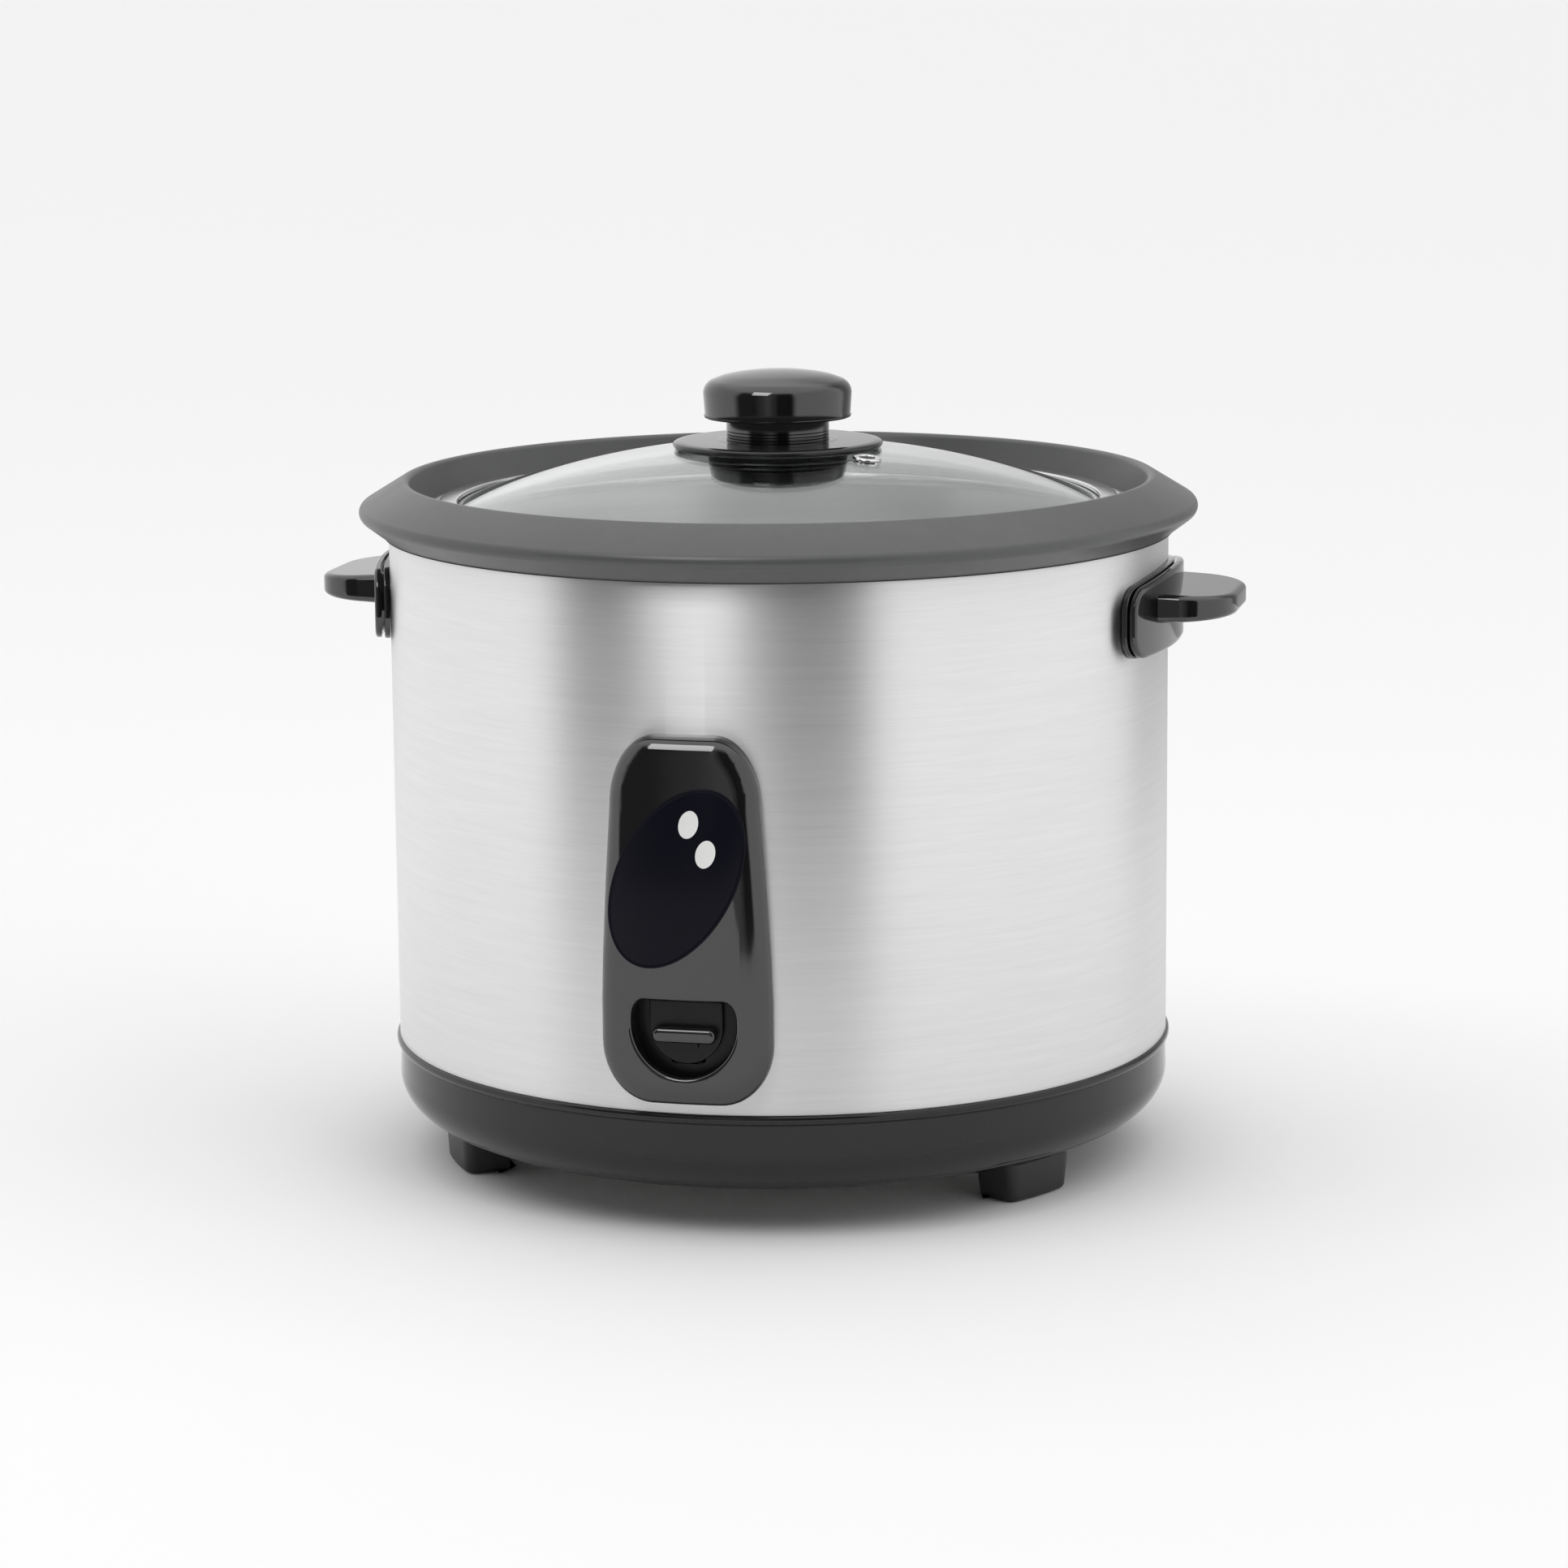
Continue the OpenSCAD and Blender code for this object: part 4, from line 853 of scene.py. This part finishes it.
def makeLever():
    x0, x1, z0, z1 = lever["tab"]
    tab = slab("tab", roundedBox(x0, x1, z0, z1, 2.2, 6), -lever["tabBack"], 1.6 - lever["tabFront"],
               edge=1.3, deep=1.6, rounds=6)
    half, middle, top = lever["shield"]
    outline = arc(0, middle, half, half, 180, 360, 28) + [(half, top), (-half, top)]
    shield = slab("shield", outline, -lever["shieldBack"], 0.4 - lever["shieldFront"], edge=0.4)
    piece = joined("leverTab", tab, shield, makeArmPart("shank", True))
    finished(piece, "lever", "gloss_black", "cook_lever", smooth=40)
    piece.data.materials.append(materials["switch_black"])  # matt behind the tab
    for face in piece.data.polygons:
        face.material_index = int(face.center.y > -(lever["shieldFront"] + 0.1) * mm)
    r, y, z, width = lever["hub"]
    bore = 2.05
    section = [(bore, -width / 2), (r, -width / 2, 0.6), (r, width / 2, 0.6), (bore, width / 2)]
    hub = turned("hub", softened(section), 48)
    moved(hub, turn=90, axis="Y")
    moved(hub, by=(0, y, z))
    piece = joined("leverArm", makeArmPart("arm", False), hub)
    finished(piece, "lever", "sheet_steel", "lever_arm", smooth=40)


makePanel()
makePocket()
makeBadge()
makeLenses()
makeLever()
print("the panel and lever are made")


# The handles
handle = {"z": 184.0, "half": 27.0, "root": 123.8, "reach": 151.0, "corner": (18, 16), "thick": 9.8,
          "roll": 2.2, "taper": 0.30, "plate": (42.5, 169.4, 192.6, 2.2), "shell": 126.0}


def plateOutline(inset=0):
    half, low, high, crown = handle["plate"]
    half, low, high = half - inset, low + inset, high - inset
    points = arc(half - 8, high - 8, 8, 8, 0, 80, 8)
    points += [(half * t, high + crown * (1 - (t / 0.8) ** 2)) for t in (0.6, 0.4, 0.2, 0, -0.2, -0.4, -0.6)]
    points += arc(8 - half, high - 8, 8, 8, 100, 180, 8) + arc(8 - half, low + 8, 8, 8, 180, 270, 8)
    return points + arc(half - 8, low + 8, 8, 8, 270, 360, 8)


def makeGrip():
    root, reach, half = handle["root"], handle["reach"], handle["half"]
    cx, cy = handle["corner"]
    outline = [(half, 0)] + arc(half - cx, reach - root - cy, cx, cy, 0, 90, 14)
    outline += arc(cx - half, reach - root - cy, cx, cy, 90, 180, 14) + [(-half, 0)]
    thick, roll = handle["thick"], handle["roll"]
    piece = startOutline("grip", outline, lambda x, y: (x, -y, 0))
    bpy.ops.mesh.extrude_region_move(TRANSFORM_OT_translate={"value": (0, 0, (thick / 2 - roll) * mm)})
    bpy.ops.mesh.select_all(action="SELECT")
    bpy.ops.mesh.normals_make_consistent(inside=False)
    select(piece, "FACE", lambda f: f.normal.z > 0.9)
    roundFace(roll, roll, 8, 0.5)
    select(piece, "FACE", lambda f: f.normal.z < -0.9)
    bpy.ops.mesh.delete(type="FACE")
    bpy.ops.object.mode_set(mode="OBJECT")
    modified(piece, "MIRROR", use_axis=(False, False, True), use_clip=True, merge_threshold=0.01 * mm)
    startEdit(piece)
    for y in range(5, 27, 2):
        bpy.ops.mesh.select_all(action="SELECT")
        bpy.ops.mesh.bisect(plane_co=(0, -y * mm, 0), plane_no=(0, 1, 0))
    endEdit()
    modified(piece, "SIMPLE_DEFORM", deform_method="TAPER", deform_axis="Y", lock_x=True,
             factor=handle["taper"])
    moved(piece, by=(0, -root, handle["z"]))
    r, z = handle["shell"] + 0.1, handle["z"]
    cutAway(piece, turned("shellCutter", [(0, z - 20), (r, z - 20), (r, z + 20), (0, z + 20)], 240))
    return piece


def makeHandles():
    r = handle["shell"]
    back = slab("backFlange", plateOutline(), -0.2, -1.5, edge=0.5, rounds=4)
    core = slab("core", plateOutline(2.2), -1.6, -3.6)
    front = slab("frontPlate", plateOutline(0.3), -3.0, -4.0, edge=1.2, deep=1.0, rounds=6)
    rear = slab("frontPlateBack", plateOutline(0.9), -2.8, -3.2)
    for part in (back, core, front, rear):
        wrapped(part, r, 2.0)
    model = joined("handleModel", back, core, front, rear, makeGrip())
    for name, node, turn in (("handleRight", "handle_right", 90), ("handleLeft", "handle_left", -90)):
        piece = copied(model, name)
        moved(piece, turn=turn)
        finished(piece, "root", "gloss_black", node, smooth=38)
    bpy.data.objects.remove(model)


makeHandles()
print("the handles are made")


# The pot, and what it sits on
pot = {"r": 108.7, "wall": 1.2, "floor": 84.3, "corner": 14, "flange": 114.0, "flangeZ": 209.3}


def makePot():
    r, wall, z, c, z1 = pot["r"], pot["wall"], pot["floor"], pot["corner"], pot["flangeZ"]
    section = [(0, z), (60, z)] + arc(r - c, z + c, c, c, -90, 0, 16) + [(r, z1 - 0.6), (r + 0.6, z1)]
    section += arc(pot["flange"] - 1.4, z1 + 1.4, 1.4, 1.4, -90, 130, 14)
    section += [(pot["flange"] - 2.8, z1 + wall), (r - wall + 1.4, z1 + wall)]
    section += arc(r - wall + 1.0, z1 + wall - 1.0, 1, 1, 90, 180, 5)
    section += arc(r - c, z + c, c - wall, c - wall, 0, -90, 16) + [(60, z + wall), (0, z + wall)]
    finished(turned("innerPot", section, 200), "pot", "pot_aluminium", "inner_pot", smooth=40)


liner = {"hole": 24, "r": 112, "wall": 0.8, "floor": 70.0, "top": 206.6, "lip": 117}


def makeLiner():
    hole, r, t, low, top, lip = (liner[k] for k in ("hole", "r", "wall", "floor", "top", "lip"))
    section = softened([(hole, low), (r, low, 4), (r, top - t, 0.4), (lip, top - t), (lip, top),
                        (r - t, top, 0.4), (r - t, low + t, 3.4), (hole, low + t)], 6)
    finished(turned("innerLiner", section, 160), "root", "sheet_steel", "inner_liner")


heater = {"hole": 19.0, "r": 88.0, "low": 76.0, "top": 84.0, "grooves": (26, 34, 42, 50, 58, 66, 74)}


def makeHeater():
    hole, r, low, top = (heater[k] for k in ("hole", "r", "low", "top"))
    corners = [(hole, low, 0.5), (r, low, 1.5), (r, top, 2.5)]
    for at in reversed(heater["grooves"]):
        corners += [(at + 0.8, top, 0.2), (at + 0.3, top - 0.5), (at - 0.3, top - 0.5), (at - 0.8, top, 0.2)]
    section = softened(corners + [(hole, top, 1)], 4)
    finished(turned("heatingPlate", section, 160), "root", "cast_aluminium", "heating_plate")


sensor = {"r": 17.5, "top": 84.0, "skirt": 22.0, "wall": 0.8}


def makeSensorCap():
    r, top, low, wall = sensor["r"], sensor["top"], sensor["top"] - sensor["skirt"], sensor["wall"]
    section = softened([(0, top), (r * 0.55, top), (r * 0.6, top - 0.25, 0.3), (r * 0.66, top, 0.3),
                        (r, top, 1.8), (r, low, 0.3), (r - wall, low), (r - wall, top - 1.2, 0.8),
                        (0, top - 1.2)], 6)
    finished(turned("sensorCap", section, 96), "sensor", "sheet_steel", "sensor_cap")


makePot()
makeLiner()
makeHeater()
makeSensorCap()
print("the pot and heater are made")


# The lid and its knob
lid = {"rim": 110.0, "rimZ": 210.8, "glass": 106.0, "thick": 3.5, "dome": 292.0, "centre": -60.5,
       "vent": 40.0, "ventAngle": -32.0}


def dome(r, under=0):
    return lid["centre"] + math.sqrt((lid["dome"] - under) ** 2 - r * r)


def makeLidGlass():
    edge, thick = lid["glass"], lid["thick"]
    outer = [3.4 + (edge - 0.9 - 3.4) * i / 36 for i in range(37)]
    section = [(r, dome(r)) for r in outer]
    section += [(edge - 0.3, dome(edge) - 0.35), (edge, dome(edge) - 0.9), (edge, dome(edge, thick) + 0.7),
                (edge - 0.5, dome(edge, thick) + 0.15)]
    section += [(r, dome(r, thick)) for r in reversed(outer)]
    piece = turned("lidGlass", section, 200)
    hole = turned("ventCutter", [(0, -9), (3.7, -9), (3.7, 9), (0, 9)], 40)
    cutAway(piece, placeOnDome(hole))
    finished(piece, "lid", "lid_glass", "lid_glass", smooth=40)


def placeOnDome(piece):  # from the origin to the vent's place, square to the glass
    tilt = math.degrees(math.asin(lid["vent"] / lid["dome"]))
    moved(piece, by=(0, 0, lid["dome"]))
    moved(piece, turn=tilt, axis="Y")
    moved(piece, by=(0, 0, lid["centre"]))
    moved(piece, turn=lid["ventAngle"])
    return piece


def makeLidRim():
    r, z, glass = lid["rim"], lid["rimZ"], lid["glass"]
    lip = glass - 2.4
    low = dome(glass, lid["thick"]) - 0.7
    thick = lid["thick"]
    section = softened([(glass + 0.9, low, 0.3), (glass + 0.9, z, 0.3), (r, z, 0.8), (r, z + 3.2, 1.3),
                        (lip, z + 3.2, 0.7), (lip, dome(lip) + 0.1, 0.3), (glass + 0.1, dome(glass) + 0.1),
                        (glass + 0.1, dome(glass, thick) - 0.1), (lip, dome(lip, thick) - 0.1),
                        (lip, low, 0.3)], 6)
    finished(turned("lidRim", section, 220), "lid", "bright_steel", "lid_rim")


def makeVent():
    section = softened([(2.5, -4.5, 0.2), (3.5, -4.5, 0.3), (3.5, 0.15), (4.6, 0.12, 0.2), (4.6, 0.95, 0.5),
                        (2.5, 0.95, 0.4)], 5)
    finished(placeOnDome(turned("steamVent", section, 56)), "lid", "bright_steel", "steam_vent")


knob = {"r": 24.0, "neck": 16.6, "foot": 232.4, "under": 239.7, "crown": 254.9,
        "rings": (233.4, 234.4, 235.4)}


def makeKnob():
    r, neck, foot, under, crown = (knob[k] for k in ("r", "neck", "foot", "under", "crown"))
    corners = [(0, foot), (neck, foot, 0.2)]
    for z in knob["rings"]:
        corners += [(neck, z - 0.16), (neck - 0.28, z), (neck, z + 0.16)]
    corners += [(neck, under, 0.5), (r - 0.4, under, 0.3), (r, under + 0.9, 0.5)]
    section = softened(corners, 4) + arc(r - 4.9, crown - 7.4, 4.9, 4.7, 0, 66, 12)
    section += [(17.6, crown - 1.85), (14.5, crown - 1.2), (10, crown - 0.55), (5, crown - 0.14), (0, crown)]
    finished(turned("knob", section, 120), "lid", "gloss_black", "knob", smooth=32)


collar = {"r": 34.0, "shoulder": 18.6, "top": 232.4}


def makeCollar():
    r, top = collar["r"], collar["top"]
    under = [(2.4, dome(2.4) + 0.06)] + [(x, dome(x) + 0.06) for x in (8, 14, 20, 26, 30)]
    rim = dome(r)
    shoulder = collar["shoulder"]
    section = under + softened([(r - 2.8, dome(r - 2.8) + 0.12, 0.3), (r - 0.9, rim + 0.2, 0.6),
                                (r, rim + 1.1, 0.8), (r - 0.2, rim + 2.2, 0.8), (r - 2.0, rim + 2.75, 1.2),
                                (shoulder + 1.0, top - 0.12, 1.0), (shoulder, top, 0.4), (2.4, top)], 5)
    finished(turned("knobCollar", section, 140), "lid", "gloss_grey", "knob_collar", smooth=32)


retainer = {"r": 23.0, "low": 20.8, "steps": (1.9, 3.2, 4.5)}


def makeRetainer():
    top = dome(retainer["r"], lid["thick"]) - 0.1
    r, low = retainer["r"], retainer["low"]
    corners = [(2.4, top), (r, top, 0.3)]
    for drop in retainer["steps"]:
        at, z = r + (low - r) * drop / 8.0, top - drop
        corners += [(at, z + 0.25), (at - 0.4, z + 0.15), (at - 0.4, z - 0.15), (at - 0.1, z - 0.25)]
    corners += [(low, top - 8, 0.6), (20, top - 8.6, 0.4), (15, top - 8.6, 0.5), (13, top - 4, 0.5),
                (2.4, top - 4)]
    piece = turned("knobRetainer", softened(corners, 3), 110)
    finished(piece, "lid", "gloss_grey", "knob_retainer", smooth=32)


makeLidGlass()
makeLidRim()
makeVent()
makeKnob()
makeCollar()
makeRetainer()
print("the lid is made")


# The mains inlet and the screws that show
inlet = {"z": 58.0, "face": 130.5, "socket": (24.4, 16.4), "plate": (25, 13.5), "back": 109.0, "screws": 19.5}


def makeInlet():
    z, face, back = inlet["z"], inlet["face"], inlet["back"]
    w, h = inlet["plate"]
    plate = slab("inletPlate", roundedBox(-w, w, z - h, z + h, 4), 118, face - 0.8, edge=0.8, rounds=4)
    cutAway(plate, turned("shellCutter", [(0, 0), (126.2, 0), (126.2, 100), (0, 100)], 240))
    sw, sh = inlet["socket"]
    wide, high = sw / 2 + 2.5, sh / 2 + 2.5
    body = slab("inletBody", roundedBox(-wide, wide, z - high, z + high, 1.5), back, face - 1)
    piece = joined("powerInlet", plate, body)
    mouth = [(-sw / 2, z - sh / 2, 1), (sw / 2, z - sh / 2, 1), (sw / 2, z + 2), (sw / 2 - 5, z + sh / 2, 1),
             (5 - sw / 2, z + sh / 2, 1), (-sw / 2, z + 2)]
    cutAway(piece, slab("socketCutter", softened(mouth, 4), back + 2.5, face + 3))
    finished(piece, "root", "switch_black", "power_inlet", smooth=38)


screw = {"head": 3.2, "high": 1.6, "cross": (0.85, 4.2, 0.8)}


def makeScrewHead(name, shank):
    r, high = screw["head"], screw["high"]
    section = [(0, -shank), (1.4, -shank), (1.5, 0), (r - 0.1, 0), (r, 0.2)]
    section += arc(r - 1.3, high - 1.3, 1.3, 1.3, 10, 80, 5) + [(0, high)]
    piece = turned(name, section, 40)
    wide, long, deep = screw["cross"]
    for turn in (0, 90):
        outline = roundedBox(-long / 2, long / 2, -wide / 2, wide / 2, 0.3, 3)
        cutter = slab("crossCutter", outline, high - deep, high + 1, along="Z")
        moved(cutter, turn=turn)
        cutAway(piece, cutter)
    return piece


def makeScrews():
    z = inlet["z"]
    heads = []
    for side in (-1, 1):
        head = makeScrewHead("inletScrew", 7)
        moved(head, turn=-90, axis="X")
        moved(head, by=(side * inlet["screws"], inlet["face"], z))
        heads.append(head)
    finished(joined("inletScrews", *heads), "root", "fastener_steel", "inlet_screws")
    heads = []
    for angle in (30, 150, 270):
        head = makeScrewHead("bottomScrew", 8)
        moved(head, turn=180, axis="X")
        moved(head, by=(94.8, 0, 12.6))
        moved(head, turn=angle)
        heads.append(head)
    finished(joined("bottomScrews", *heads), "root", "fastener_steel", "bottom_screws")


makeInlet()
makeScrews()
print("the inlet and screws are made")


# The parts that stay as they are only take a finish
def dressNodes():
    slots = {part["node"]: part["material_slot"] for part in frame["record"]["subparts"]}
    for name, node in frame["nodes"].items():
        for held in node.material_slots:
            held.material = materials[slots[name]]


dressNodes()
